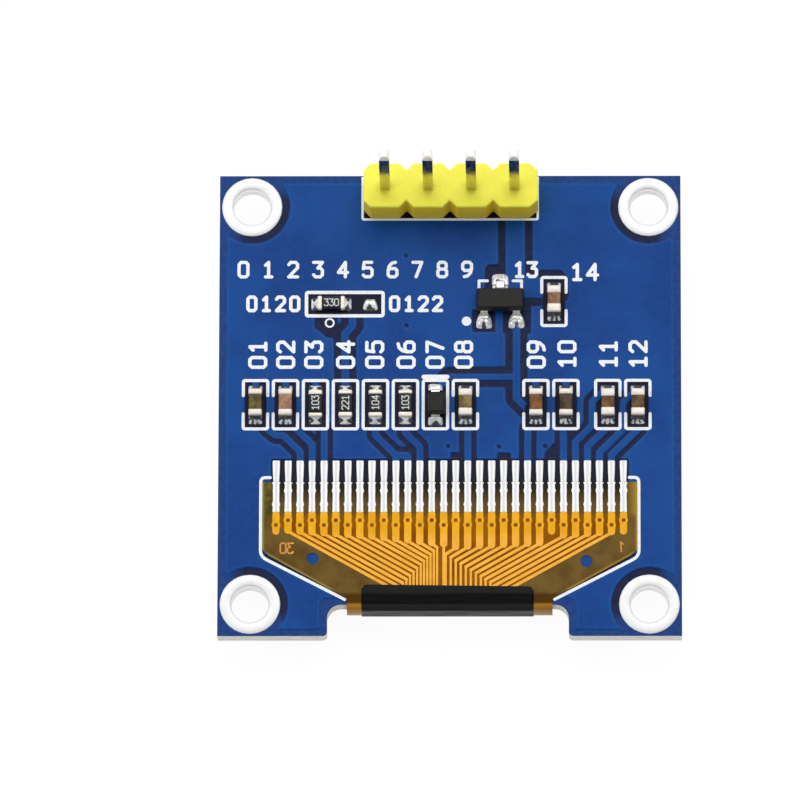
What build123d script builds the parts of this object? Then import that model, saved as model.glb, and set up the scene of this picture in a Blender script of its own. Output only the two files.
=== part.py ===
from build123d import *
import math
import os

# A small OLED display module. It lies on its display glass with its component side up.
# Units are millimetres. +Z is up from the display face, +X is across and +Y runs from the notch
# in the board to the pin header. The origin is under the board's middle, on the display face.

# ---------------------------------------------------------------- driving dimensions
BOARD_WIDTH = 27.1
BOARD_LENGTH = 27.8
NOTCH_WIDTH = 14.1
NOTCH_X = -0.1                 # the notch is milled a little left of the middle
NOTCH_DEPTH = 1.87
NOTCH_INNER_RADIUS = 0.8
NOTCH_MOUTH_RADIUS = 0.25

HOLE_SPACING_X = 23.3
HOLE_SPACING_Y = 24.0
RING_BORE_RADIUS = 1.1
RING_WALL = 0.05
RING_FLANGE_RADIUS = 1.775
RING_SIDES = 24                # plated rounds are drawn with flats; the bore itself is a true circle

# the stack, from the display face upwards
POLARIZER_THICKNESS = 0.15
FRONT_GLASS_THICKNESS = 0.7
SEAL_THICKNESS = 0.02
REAR_GLASS_THICKNESS = 0.5
MOUNTING_TAPE_THICKNESS = 0.43
LAMINATE_THICKNESS = 1.145      # with the coating on its display side
BACK_MASK_THICKNESS = 0.055     # with the copper foil under it
FRONT_FOIL_THICKNESS = 0.03

Z_FRONT_GLASS = POLARIZER_THICKNESS
Z_SEAL = Z_FRONT_GLASS + FRONT_GLASS_THICKNESS
Z_REAR_GLASS = Z_SEAL + SEAL_THICKNESS
Z_TAPE = Z_REAR_GLASS + REAR_GLASS_THICKNESS
Z_BOARD = Z_TAPE + MOUNTING_TAPE_THICKNESS
Z_BACK_MASK = Z_BOARD + LAMINATE_THICKNESS
Z_BACK = Z_BACK_MASK + BACK_MASK_THICKNESS       # the component side's surface
Z_CHIP = Z_BACK + 0.01                           # underside of a soldered chip

# display glass
GLASS_WIDTH = 26.7
GLASS_LENGTH = 19.26
GLASS_TOP = 9.66
GLASS_BOTTOM = GLASS_TOP - GLASS_LENGTH
LEDGE_LENGTH = 4.75            # bare front glass below the rear glass, for the driver and the flex
ACTIVE_WIDTH = 21.75
ACTIVE_LENGTH = 10.86
ACTIVE_TOP_MARGIN = 2.1

# pin header, 0.1 inch pitch
PIN_PITCH = 2.54
PIN_COUNT = 4
PIN_SIZE = 0.64
PIN_ABOVE = 6.75
PIN_TAIL = 2.65
PIN_TIP = 0.5
PIN_TIP_SIZE = 0.34
HOUSING_HEIGHT = 2.54
HOUSING_DEPTH = 2.66
HOUSING_CHAMFER = 0.42
STUB_LEFT = 0.04               # what is left at each end where the strip was broken off
STUB_RIGHT = 0.16
HEADER_Y = 12.64
PIN_HOLE_RADIUS = 0.5
FRONT_PAD_RADIUS = 0.85
PIN_HOLE_SIDES = 12            # small filled rounds are drawn with flats
SOLDER_CONE_HEIGHT = 0.8
SOLDER_CONE_TAPER = 22.0

# row of chips, all 1.6 x 0.8, standing across the board
CHIP_LENGTH = 1.6
CHIP_WIDTH = 0.8
CAPACITOR_HEIGHT = 0.8
RESISTOR_HEIGHT = 0.45
CAPACITOR_TERMINAL = 0.34
RESISTOR_TERMINAL = 0.26
TERMINAL_WALL = 0.03
TERMINAL_CHAMFER = 0.06
ROW_PITCH = 1.757
ROW_LEFT_X = -11.39
ROW_RIGHT_X = 5.04
ROW_OUTER_X = 9.25
PAD_WIDTH = 0.86
PAD_INNER = 0.45
PAD_OUTER = 1.22
FRAME_WIDTH = 1.61
FRAME_LENGTH = 3.1
FRAME_LINE = 0.18
FRAME_GAP = 0.93               # opening in the sides of a capacitor's frame
INK_THICKNESS = 0.015

# the voltage regulator, in a three-lead package, with the capacitor beside it
REGULATOR_X = 2.95
REGULATOR_Y = 6.2
REGULATOR_WIDTH = 2.8
REGULATOR_DEPTH = 1.3
REGULATOR_HEIGHT = 1.0
REGULATOR_SPAN = 2.5
REGULATOR_LEAD_PITCH = 1.9
REGULATOR_LEAD_WIDTH = 0.42
INPUT_CAPACITOR_X = 6.1
INPUT_CAPACITOR_Y = 6.24

# the diode in the row
DIODE_WIDTH = 1.1
DIODE_LENGTH = 1.4
DIODE_HEIGHT = 0.85
DIODE_SPAN = 2.3
DIODE_LEAD_WIDTH = 0.5

# the three pads of the address selector, with a resistor on two of them
SELECTOR_X = -6.18
SELECTOR_Y = 6.09
SELECTOR_WIDTH = 4.7
SELECTOR_HEIGHT = 1.62
SELECTOR_PAD_PITCH = 1.575
SELECTOR_PAD_WIDTH = 0.82

# flexible circuit
FLEX_PITCH = 0.7
FLEX_COUNT = 30
FLEX_THICKNESS = 0.06
FLEX_TOP = -4.68               # its end on the board
FLEX_HALF_WIDTH = 10.95
FLEX_SHOULDER_Y = -8.75
FLEX_CORNER = (10.55, -9.1)
FLEX_NECK_HALF_WIDTH = 6.0
FLEX_NECK_Y = -11.68
FLEX_HOLES = ((-8.0, -9.27), (7.98, -9.43))
FLEX_HOLE_RADIUS = 0.35
FOLD_GAP = 0.22                # between the notch edge and the film
FOLD_TOP_RADIUS = 0.2          # inner radii of the two bends
FOLD_BOTTOM_RADIUS = 0.57
FLEX_BOND_LENGTH = 1.6         # overlap on the glass ledge
LAND_WIDTH = 0.44
LAND_TOP = -3.36
LAND_HEIGHT = 0.03
FINGER_WIDTH = 0.42
FINGER_BOTTOM = -6.48
FINGER_HEIGHT = 0.04
BULGE_WIDTH = 0.56
BULGE_REACH = 0.25
BULGE_HIGH_Y = -5.18
BULGE_LOW_Y = -6.0
CONDUCTOR_HEIGHT = 0.012
FAN_ANGLE = 29.0
FAN_WIDTH = 0.2
NECK_TRACK_WIDTH = 0.12
NECK_TRACK_END = -11.2

BEND_TAPE_LEFT = -5.14
BEND_TAPE_RIGHT = 4.9
BEND_TAPE_THICKNESS = 0.07
BEND_TAPE_TOP = -10.75
BEND_TAPE_FRONT_END = -10.4
BEND_TAPE_CORNER = 0.3

HALF_W = BOARD_WIDTH / 2
HALF_L = BOARD_LENGTH / 2
NOTCH_TOP = -HALF_L + NOTCH_DEPTH
PIN_XS = [(i - (PIN_COUNT - 1) / 2) * PIN_PITCH for i in range(PIN_COUNT)]
RING_SPOTS = [(sx * HOLE_SPACING_X / 2, sy * HOLE_SPACING_Y / 2) for sy in (1, -1) for sx in (-1, 1)]
LAND_XS = [(i - (FLEX_COUNT - 1) / 2) * FLEX_PITCH for i in range(FLEX_COUNT)]
GUARD = 0.1                    # how far a cutting tool runs past what it cuts


# ---------------------------------------------------------------- small sketch helpers
def rectangle(left, bottom, right, top):
    return Pos((left + right) / 2, (bottom + top) / 2) * Rectangle(right - left, top - bottom)


def outline(*points):
    return make_face(Polyline(*points, close=True))


def stroke(width, *points):
    """A line of the given width along the points, with mitred corners and square ends."""
    left, right = [], []
    for i, (x, y) in enumerate(points):
        before = points[i - 1] if i > 0 else points[i]
        after = points[i + 1] if i < len(points) - 1 else points[i]
        heading_in = math.atan2(y - before[1], x - before[0]) if i > 0 else None
        heading_out = math.atan2(after[1] - y, after[0] - x) if i < len(points) - 1 else heading_in
        if heading_in is None:
            heading_in = heading_out
        turn = math.remainder(heading_out - heading_in, 2 * math.pi)
        across = heading_in + turn / 2 + math.pi / 2
        reach = width / 2 / math.cos(turn / 2)
        left.append((x + reach * math.cos(across), y + reach * math.sin(across)))
        right.append((x - reach * math.cos(across), y - reach * math.sin(across)))
    return outline(*left, *reversed(right))


def slab(sketch, bottom, top):
    return Pos(0, 0, bottom) * extrude(sketch, amount=top - bottom)


def block(left, front, bottom, right, back, top):
    return slab(rectangle(left, front, right, back), bottom, top)


def prism_x(points, left, right):
    """A profile given as (y, z) points, drawn out along X."""
    face = make_face(Polyline(*[(left, y, z) for y, z in points], close=True))
    return extrude(face, amount=right - left, dir=(1, 0, 0))


# ---------------------------------------------------------------- where the parts stand
# name, kind, x, y and whether the part lies along X instead of Y
CHIPS = [
    ("capacitor_1", "capacitor", ROW_LEFT_X, 0.0, False),
    ("capacitor_2", "capacitor", ROW_LEFT_X + ROW_PITCH, 0.0, False),
    ("resistor_1", "resistor", ROW_LEFT_X + 2 * ROW_PITCH, 0.0, False),
    ("resistor_2", "resistor", ROW_LEFT_X + 3 * ROW_PITCH, 0.0, False),
    ("resistor_3", "resistor", ROW_LEFT_X + 4 * ROW_PITCH, 0.0, False),
    ("resistor_4", "resistor", ROW_LEFT_X + 5 * ROW_PITCH, 0.0, False),
    ("capacitor_3", "capacitor", ROW_LEFT_X + 7 * ROW_PITCH, 0.0, False),
    ("capacitor_4", "capacitor", ROW_RIGHT_X, 0.0, False),
    ("capacitor_5", "capacitor", ROW_RIGHT_X + ROW_PITCH, 0.0, False),
    ("capacitor_6", "capacitor", ROW_OUTER_X, 0.0, False),
    ("capacitor_7", "capacitor", ROW_OUTER_X + ROW_PITCH, 0.0, False),
    ("capacitor_8", "capacitor", INPUT_CAPACITOR_X, INPUT_CAPACITOR_Y, False),
    ("resistor_5", "resistor", SELECTOR_X - SELECTOR_PAD_PITCH / 2, SELECTOR_Y, True),
]
DIODE_X = ROW_LEFT_X + 6 * ROW_PITCH
CHIP_X = {name: x for name, _, x, _, _ in CHIPS}


def land_x(number):
    """Place of a flex contact, counted from 1 at the left."""
    return LAND_XS[number - 1]


# ---------------------------------------------------------------- pads
def chip_pads():
    """Every bare tinned pad on the component side, as rectangles in one sketch."""
    pads = Sketch()
    half = PAD_WIDTH / 2
    rows = [(x, y) for _, _, x, y, lies_along_x in CHIPS if not lies_along_x]
    for x, y in rows + [(DIODE_X, 0.0)]:
        for side in (1, -1):
            low, high = sorted((side * PAD_INNER, side * PAD_OUTER))
            pads += rectangle(x - half, y + low, x + half, y + high)
    for step in (-1, 0, 1):
        x = SELECTOR_X + step * SELECTOR_PAD_PITCH
        pads += Pos(x, SELECTOR_Y) * Rectangle(SELECTOR_PAD_WIDTH, PAD_WIDTH)
    for x, side in regulator_leads():
        pads += Pos(x, REGULATOR_Y + side * 1.12) * Rectangle(0.95, 0.95)
    return pads


def regulator_leads():
    """x and side of the regulator's leads: two below its body and one above."""
    return [(REGULATOR_X - REGULATOR_LEAD_PITCH / 2, -1),
            (REGULATOR_X + REGULATOR_LEAD_PITCH / 2, -1),
            (REGULATOR_X, 1)]


# ---------------------------------------------------------------- the bare board
def board_outline():
    """The board seen from above: a rectangle with a rounded notch in its lower edge."""
    body = Rectangle(BOARD_WIDTH, BOARD_LENGTH)
    half = NOTCH_WIDTH / 2
    body -= rectangle(NOTCH_X - half, -HALF_L - GUARD, NOTCH_X + half, NOTCH_TOP)
    on_wall = body.vertices().filter_by(lambda v: abs(abs(v.X - NOTCH_X) - half) < 0.01)
    body = fillet(on_wall.filter_by(lambda v: v.Y > -HALF_L + 0.01), NOTCH_INNER_RADIUS)
    mouth = body.vertices().filter_by(lambda v: abs(abs(v.X - NOTCH_X) - half) < 0.01 and v.Y < -HALF_L + 0.01)
    return fillet(mouth, NOTCH_MOUTH_RADIUS)


def plated_round(radius):
    return RegularPolygon(radius, RING_SIDES)


def drilled(radius):
    return Sketch() + [Pos(x, y) * plated_round(radius) for x, y in RING_SPOTS]


def pin_round(radius):
    return RegularPolygon(radius, PIN_HOLE_SIDES)


def pin_holes():
    return Sketch() + [Pos(x, HEADER_Y) * pin_round(PIN_HOLE_RADIUS) for x in PIN_XS]


def laminate():
    sheet = board_outline() - drilled(RING_BORE_RADIUS + RING_WALL) - pin_holes()
    return slab(sheet, Z_BOARD, Z_BACK_MASK)


def solder_mask_back():
    """A skin with windows for the rings, the pads and the whole row of flex lands."""
    half_row = LAND_XS[-1] + FLEX_PITCH / 2
    windows = rectangle(-half_row, FLEX_TOP, half_row, LAND_TOP)
    sheet = board_outline() - drilled(RING_FLANGE_RADIUS) - pin_holes() - chip_pads() - windows
    return slab(sheet, Z_BACK_MASK, Z_BACK)


def mounting_ring(x, y):
    """A plated hole: a barrel through the board with a flat flange on each side."""
    ring = slab(plated_round(RING_BORE_RADIUS + RING_WALL), Z_BOARD, Z_BACK_MASK)
    for low, high in ((Z_BOARD - FRONT_FOIL_THICKNESS, Z_BOARD), (Z_BACK_MASK, Z_BACK)):
        ring += slab(plated_round(RING_FLANGE_RADIUS), low, high)
    ring -= slab(Circle(RING_BORE_RADIUS), Z_BOARD - GUARD, Z_BACK + GUARD)
    return Pos(x, y) * ring


# ---------------------------------------------------------------- white ink
def chip_frame(x, y, open_sides):
    half_w, half_l = FRAME_WIDTH / 2, FRAME_LENGTH / 2
    frame = rectangle(x - half_w, y - half_l, x + half_w, y + half_l)
    frame -= rectangle(x - half_w + FRAME_LINE, y - half_l + FRAME_LINE,
                       x + half_w - FRAME_LINE, y + half_l - FRAME_LINE)
    if open_sides:
        frame -= rectangle(x - FRAME_WIDTH, y - FRAME_GAP / 2, x + FRAME_WIDTH, y + FRAME_GAP / 2)
    return frame


def silkscreen_back():
    """The printed frames and outlines, a thin layer of white ink on the mask."""
    ink = Sketch()
    for _, kind, x, y, lies_along_x in CHIPS:
        if not lies_along_x:
            ink += chip_frame(x, y, kind == "capacitor")
    ink += chip_frame(DIODE_X, 0.0, False)
    half_w, half_l = FRAME_WIDTH / 2, FRAME_LENGTH / 2
    cathode_bar = 0.28
    ink += rectangle(DIODE_X - half_w + 0.06, half_l - 0.02, DIODE_X + half_w - 0.06, half_l + cathode_bar)
    sel_w, sel_h = SELECTOR_WIDTH / 2, SELECTOR_HEIGHT / 2
    ink += rectangle(SELECTOR_X - sel_w, SELECTOR_Y - sel_h, SELECTOR_X + sel_w, SELECTOR_Y + sel_h)
    ink -= rectangle(SELECTOR_X - sel_w + 0.2, SELECTOR_Y - sel_h + 0.2,
                     SELECTOR_X + sel_w - 0.2, SELECTOR_Y + sel_h - 0.2)
    # corner marks of the regulator
    for side in (-1, 1):
        edge = REGULATOR_X + side * (REGULATOR_WIDTH / 2 - 0.05)
        ink += stroke(0.17, (edge - side * 0.62, 7.5), (edge, 7.5), (edge, 7.02))
    # frame round the header, open at the board's edge
    frame_half = PIN_PITCH * PIN_COUNT / 2 + 0.09
    frame_low = HALF_L - PIN_PITCH - 0.12
    ink += stroke(0.17, (-frame_half, HALF_L), (-frame_half, frame_low),
                  (frame_half, frame_low), (frame_half, HALF_L))
    # outline of the flexible circuit, one line at each side
    for side in (-1, 1):
        ink += stroke(0.19, (side * 10.5, -4.4), (side * 11.08, -4.4), (side * 11.08, -8.75),
                      (side * 10.85, -9.2), (side * 6.1, -11.72))
    ink += Pos(0.97, 5.05) * pin_round(0.28)
    return slab(ink, Z_BACK, Z_BACK + INK_THICKNESS)


# ---------------------------------------------------------------- pin header
def header_housing():
    """Four eight-sided cells moulded in a row, with a square hole for each pin."""
    half_w, half_d = PIN_PITCH / 2, HOUSING_DEPTH / 2
    cut_w, cut_d = half_w - HOUSING_CHAMFER, half_d - HOUSING_CHAMFER
    row = Sketch()
    for x in PIN_XS:
        left = half_w + (STUB_LEFT if x == PIN_XS[0] else 0)
        right = half_w + (STUB_RIGHT if x == PIN_XS[-1] else 0)
        corners = [(right, -cut_d), (right, cut_d), (cut_w, half_d), (-cut_w, half_d),
                   (-left, cut_d), (-left, -cut_d), (-cut_w, -half_d), (cut_w, -half_d)]
        row += outline(*[(x + dx, HEADER_Y + dy) for dx, dy in corners])
    row -= Sketch() + [Pos(x, HEADER_Y) * Rectangle(PIN_SIZE, PIN_SIZE) for x in PIN_XS]
    return slab(row, Z_BACK + INK_THICKNESS, Z_BACK + INK_THICKNESS + HOUSING_HEIGHT)


def header_pin(x):
    """A square wire, pointed at both ends."""
    bottom = Z_BACK - PIN_TAIL
    top = Z_BACK + INK_THICKNESS + HOUSING_HEIGHT + PIN_ABOVE
    shank = slab(Rectangle(PIN_SIZE, PIN_SIZE), bottom + PIN_TIP, top - PIN_TIP)
    taper = math.degrees(math.atan((PIN_SIZE - PIN_TIP_SIZE) / 2 / PIN_TIP))
    point = extrude(Rectangle(PIN_SIZE, PIN_SIZE), amount=PIN_TIP, taper=taper)
    upper = Pos(0, 0, top - PIN_TIP) * point
    lower = Pos(0, 0, bottom + PIN_TIP) * Rotation(180, 0, 0) * point
    return Pos(x, HEADER_Y) * (shank + upper + lower)


def header_solder():
    """One joint for each pin: it fills the plated hole and rises round the tail in a cone."""
    plug = slab(pin_round(PIN_HOLE_RADIUS), Z_BOARD, Z_BACK)
    cone = extrude(pin_round(FRONT_PAD_RADIUS), amount=SOLDER_CONE_HEIGHT, taper=SOLDER_CONE_TAPER)
    joint = plug + Pos(0, 0, Z_BOARD) * Rotation(180, 0, 0) * cone
    joint -= slab(Rectangle(PIN_SIZE, PIN_SIZE), 0, Z_BACK + GUARD)
    return Compound([Pos(x, HEADER_Y) * joint for x in PIN_XS])


# ---------------------------------------------------------------- display glass
def glass_plan(inset=0.0, bottom=GLASS_BOTTOM):
    half = GLASS_WIDTH / 2 - inset
    return rectangle(-half, bottom + inset, half, GLASS_TOP - inset)


REAR_GLASS_BOTTOM = GLASS_BOTTOM + LEDGE_LENGTH
SEAL_WIDTH = 1.1
RECESS_DEPTH = 0.2
ACTIVE_Y = GLASS_TOP - ACTIVE_TOP_MARGIN - ACTIVE_LENGTH / 2


def polarizer():
    return slab(glass_plan(0.3, REAR_GLASS_BOTTOM), 0, POLARIZER_THICKNESS)


def front_glass():
    return slab(glass_plan(), Z_FRONT_GLASS, Z_SEAL)


def edge_seal():
    ring = glass_plan(0.1, REAR_GLASS_BOTTOM) - glass_plan(SEAL_WIDTH, REAR_GLASS_BOTTOM)
    return slab(ring, Z_SEAL, Z_REAR_GLASS)


def rear_glass():
    """The cover glass, etched hollow inside its rim."""
    cover = slab(glass_plan(0, REAR_GLASS_BOTTOM), Z_REAR_GLASS, Z_TAPE)
    recess = glass_plan(SEAL_WIDTH, REAR_GLASS_BOTTOM)
    return cover - slab(recess, Z_REAR_GLASS - GUARD, Z_REAR_GLASS + RECESS_DEPTH)


def emitter_film():
    return slab(Pos(0, ACTIVE_Y) * Rectangle(ACTIVE_WIDTH, ACTIVE_LENGTH), Z_SEAL, Z_REAR_GLASS)


def desiccant_sheet():
    ceiling = Z_REAR_GLASS + RECESS_DEPTH
    return slab(Pos(0, ACTIVE_Y) * Rectangle(19.0, 8.5), ceiling - 0.1, ceiling)


def driver_chip():
    return slab(Pos(0, -6.3) * Rectangle(6.76, 0.86), Z_SEAL, Z_SEAL + 0.28)


def mounting_tape():
    return slab(rectangle(-12.0, REAR_GLASS_BOTTOM + 0.5, 12.0, GLASS_TOP - 0.8), Z_TAPE, Z_BOARD)


# ---------------------------------------------------------------- flexible circuit
def fold_profile(skin, thickness, back_end, front_end):
    """Section through the fold, as a YZ face that starts `skin` above the film's inner side.

    It lies on the board's back, goes round the notch edge and returns under the board.
    """
    wall_y = NOTCH_TOP - FOLD_GAP
    r_top = FOLD_TOP_RADIUS + skin
    r_low = FOLD_BOTTOM_RADIUS + skin
    top_centre = (wall_y + FOLD_TOP_RADIUS, Z_BACK - FOLD_TOP_RADIUS)
    z_inner = Z_SEAL + FLEX_THICKNESS
    low_centre = (wall_y + FOLD_BOTTOM_RADIUS, z_inner + FOLD_BOTTOM_RADIUS)

    def side(extra):
        a, b = r_top + extra, r_low + extra
        diagonal = math.sqrt(0.5)
        p1 = (0, back_end, top_centre[1] + a)
        p2 = (0, top_centre[0], top_centre[1] + a)
        p3 = (0, top_centre[0] - a * diagonal, top_centre[1] + a * diagonal)
        p4 = (0, top_centre[0] - a, top_centre[1])
        p5 = (0, low_centre[0] - b, low_centre[1])
        p6 = (0, low_centre[0] - b * diagonal, low_centre[1] - b * diagonal)
        p7 = (0, low_centre[0], low_centre[1] - b)
        p8 = (0, front_end, low_centre[1] - b)
        path = [Line(p1, p2), ThreePointArc(p2, p3, p4), Line(p4, p5),
                ThreePointArc(p5, p6, p7), Line(p7, p8)]
        return p1, p8, path

    inner_start, inner_end, inner = side(0)
    outer_start, outer_end, outer = side(thickness)
    edges = inner + outer + [Line(inner_start, outer_start), Line(inner_end, outer_end)]
    return make_face(Curve() + edges)


def flex_film():
    """One sheet: a broad end on the board, a neck folded round the notch, and its bond on the glass."""
    half, neck = FLEX_HALF_WIDTH, FLEX_NECK_HALF_WIDTH
    corner_x, corner_y = FLEX_CORNER
    fold_start = NOTCH_TOP + 0.1
    broad = outline((-half, FLEX_TOP), (half, FLEX_TOP), (half, FLEX_SHOULDER_Y), (corner_x, corner_y),
                    (neck, FLEX_NECK_Y), (neck, fold_start), (-neck, fold_start), (-neck, FLEX_NECK_Y),
                    (-corner_x, corner_y), (-half, FLEX_SHOULDER_Y))
    broad -= Sketch() + [Pos(x, y) * pin_round(FLEX_HOLE_RADIUS) for x, y in FLEX_HOLES]
    sheet = slab(broad, Z_BACK, Z_BACK + FLEX_THICKNESS)
    profile = fold_profile(0, FLEX_THICKNESS, fold_start, GLASS_BOTTOM + FLEX_BOND_LENGTH)
    return sheet + Pos(-neck, 0, 0) * extrude(profile, amount=2 * neck, dir=(1, 0, 0))


def bend_tape():
    """A strip of black tape laid over the fold, from the board's back round to the front."""
    profile = fold_profile(FLEX_THICKNESS, BEND_TAPE_THICKNESS, BEND_TAPE_TOP, BEND_TAPE_FRONT_END)
    width = BEND_TAPE_RIGHT - BEND_TAPE_LEFT
    strip = Pos(BEND_TAPE_LEFT, 0, 0) * extrude(profile, amount=width, dir=(1, 0, 0))
    corners = strip.edges().filter_by(Axis.Z).filter_by(lambda e: e.center().Y > BEND_TAPE_TOP - 0.01)
    return fillet(corners, BEND_TAPE_CORNER)


def flex_lands():
    land = block(-LAND_WIDTH / 2, FLEX_TOP, Z_BACK_MASK, LAND_WIDTH / 2, LAND_TOP, Z_BACK + LAND_HEIGHT)
    return Compound([Pos(x, 0, 0) * land for x in LAND_XS])


def flex_fingers():
    """The soldered ends of the conductors, each with a swelling, high and low by turns."""
    top = Z_BACK + FLEX_THICKNESS
    fingers = []
    for number, x in enumerate(LAND_XS, start=1):
        bulge_y = BULGE_LOW_Y if number % 2 else BULGE_HIGH_Y
        half, wide = FINGER_WIDTH / 2, BULGE_WIDTH / 2
        right = [(half, FLEX_TOP), (half, bulge_y + BULGE_REACH), (wide, bulge_y),
                 (half, bulge_y - BULGE_REACH), (half, FINGER_BOTTOM)]
        points = [(x + dx, y) for dx, y in right] + [(x - dx, y) for dx, y in reversed(right)]
        fingers.append(slab(outline(*points), top, top + FINGER_HEIGHT))
    return Compound(fingers)


# The fan-in. Each conductor runs down to a turn, slants towards the neck and, if it gets there
# before the tape, turns down again on a line that leans across the neck.
FREE_CONTACTS = (1, 24, 30)
LAST_LEFT = 15
LEFT_TURNS = (-7.7, -8.05, -8.45)      # turn heights of contacts 2, 9 and 14
RIGHT_TURNS = (-8.7, -8.45, -7.95, -7.8)   # turn heights of contacts 16, 23, 25 and 29
SLOPE = math.tan(math.radians(FAN_ANGLE))
LEFT_HOOK = ((-2.5, -10.5), (-0.9, -8.8))
RIGHT_HOOK = ((1.9, -10.4), (0.2, -9.3))


def between(value, low, high, at_low, at_high):
    return at_low + (at_high - at_low) * (value - low) / (high - low)


def turn_height(number):
    if number <= LAST_LEFT:
        first, middle, last = LEFT_TURNS
        return between(number, 2, 9, first, middle) if number < 9 else between(number, 9, 14, middle, last)
    if number <= 23:
        return between(number, 16, 23, *RIGHT_TURNS[:2])
    return between(number, 25, 29, *RIGHT_TURNS[2:])


def conductor_route(number):
    """Points of one conductor from its turn down to the tape."""
    x, turn = land_x(number), turn_height(number)
    if number == LAST_LEFT:
        return [(x, turn), (x, NECK_TRACK_END)], 1
    inward = 1 if number < LAST_LEFT else -1
    (ax, ay), (bx, by) = LEFT_HOOK if inward > 0 else RIGHT_HOOK
    lean = (by - ay) / (bx - ax)
    # where the slanting run y = turn - SLOPE * |dx| crosses the hook line
    hook_x = (turn + inward * SLOPE * x - ay + lean * ax) / (lean + inward * SLOPE)
    hook_y = ay + lean * (hook_x - ax)
    if hook_y < BEND_TAPE_TOP:
        reach = (turn - NECK_TRACK_END) / SLOPE
        return [(x, turn), (x + inward * reach, NECK_TRACK_END)], 2
    return [(x, turn), (hook_x, hook_y), (hook_x, NECK_TRACK_END)], 2


def flex_tracks():
    """The thirty conductors on the film below the soldered ends."""
    top = Z_BACK + FLEX_THICKNESS
    conductors = []
    free_end = -7.85
    half = FINGER_WIDTH / 2
    for number in range(1, FLEX_COUNT + 1):
        x = land_x(number)
        if number in FREE_CONTACTS:
            shape = rectangle(x - half, free_end, x + half, FINGER_BOTTOM)
        else:
            route, slanted = conductor_route(number)
            turn = route[0][1]
            narrow = FAN_WIDTH / 2
            shape = outline((x - half, FINGER_BOTTOM), (x + half, FINGER_BOTTOM), (x + half, turn + 0.4),
                            (x + narrow, turn), (x - narrow, turn), (x - half, turn + 0.4))
            if slanted == 2:
                shape += stroke(FAN_WIDTH, (x, turn + 0.1), *route[:2])
            if len(route) == 3:
                shape += stroke(NECK_TRACK_WIDTH, route[1], route[2])
            if slanted == 1:
                shape += stroke(NECK_TRACK_WIDTH, *route)
            shape -= rectangle(-HALF_W, NECK_TRACK_END - GUARD, HALF_W, BEND_TAPE_TOP)
        conductors.append(slab(shape, top, top + CONDUCTOR_HEIGHT))
    return Compound(conductors)


# ---------------------------------------------------------------- soldered parts
def chip_body(height):
    half_l = CHIP_LENGTH / 2 - TERMINAL_WALL
    half_w = CHIP_WIDTH / 2 - TERMINAL_WALL
    return block(-half_w, -half_l, TERMINAL_WALL, half_w, half_l, height - TERMINAL_WALL)


def chip_terminals(height, terminal):
    """A metal cap over each end of the chip."""
    caps = []
    for side in (1, -1):
        low, high = sorted((side * CHIP_LENGTH / 2, side * (CHIP_LENGTH / 2 - terminal)))
        cap = block(-CHIP_WIDTH / 2, low, 0, CHIP_WIDTH / 2, high, height)
        ridge = cap.edges().filter_by(Axis.X).sort_by(Axis.Z)[-2:].sort_by(Axis.Y)[-1 if side > 0 else 0]
        cap = chamfer(ridge, TERMINAL_CHAMFER)
        caps.append(cap - chip_body(height))
    return Compound(caps)


def placed(shape, x, y, lies_along_x):
    return Pos(x, y, Z_CHIP) * Rotation(0, 0, 90 if lies_along_x else 0) * shape


def solder_wedge(inner, outer, half_width, rise):
    """A joint at the +Y end of a part: a tinned pad with a fillet up the end of the terminal."""
    profile = [(PAD_INNER, Z_BACK_MASK), (outer, Z_BACK_MASK), (outer, Z_CHIP),
               (inner + 0.18, Z_CHIP + 0.25 * rise), (inner, Z_CHIP + rise),
               (inner, Z_CHIP), (PAD_INNER, Z_CHIP)]
    return prism_x(profile, -half_width, half_width)


def chip_solder():
    """All the joints on the component side, one solid for each pad."""
    joints = []
    for _, kind, x, y, lies_along_x in CHIPS:
        rise = 0.36 if kind == "capacitor" else 0.3
        for turn in (0, 180):
            wedge = solder_wedge(CHIP_LENGTH / 2, PAD_OUTER, PAD_WIDTH / 2 - 0.01, rise)
            joints.append(Pos(x, y) * Rotation(0, 0, turn + (90 if lies_along_x else 0)) * wedge)
    for turn in (0, 180):
        wedge = solder_wedge(DIODE_SPAN / 2, PAD_OUTER, PAD_WIDTH / 2 - 0.01, 0.1)
        joints.append(Pos(DIODE_X, 0) * Rotation(0, 0, turn) * wedge)
    bare_x = SELECTOR_X + SELECTOR_PAD_PITCH
    bare_half = SELECTOR_PAD_WIDTH / 2
    mound = [(-bare_half, Z_BACK_MASK), (bare_half, Z_BACK_MASK), (bare_half, Z_BACK), (0.2, Z_BACK + 0.12),
             (-0.2, Z_BACK + 0.12), (-bare_half, Z_BACK)]
    joints.append(Pos(bare_x, SELECTOR_Y) * prism_x(mound, -bare_half, bare_half))
    for x, side in regulator_leads():
        foot = REGULATOR_SPAN / 2
        profile = [(0.66, Z_BACK_MASK), (1.58, Z_BACK_MASK), (1.58, Z_BACK), (foot, Z_CHIP + 0.1),
                   (foot, Z_CHIP), (0.66, Z_CHIP)]
        turn = 0 if side > 0 else 180
        joints.append(Pos(x, REGULATOR_Y) * Rotation(0, 0, turn) * prism_x(profile, -0.46, 0.46))
    return Compound(joints)


def moulded_body(width, depth, height, x, y):
    """A moulded package: two tapered halves that meet at the leads' height."""
    low, high = Z_CHIP + 0.08, Z_CHIP + 0.08 + height
    middle = (low + high) / 2
    draft = 0.07
    waist = Rectangle(width, depth)
    face = Rectangle(width - 2 * draft, depth - 2 * draft)
    upper = loft([Pos(0, 0, middle) * waist, Pos(0, 0, high) * face])
    lower = loft([Pos(0, 0, low) * face, Pos(0, 0, middle) * waist])
    return Pos(x, y) * (upper + lower)


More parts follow.
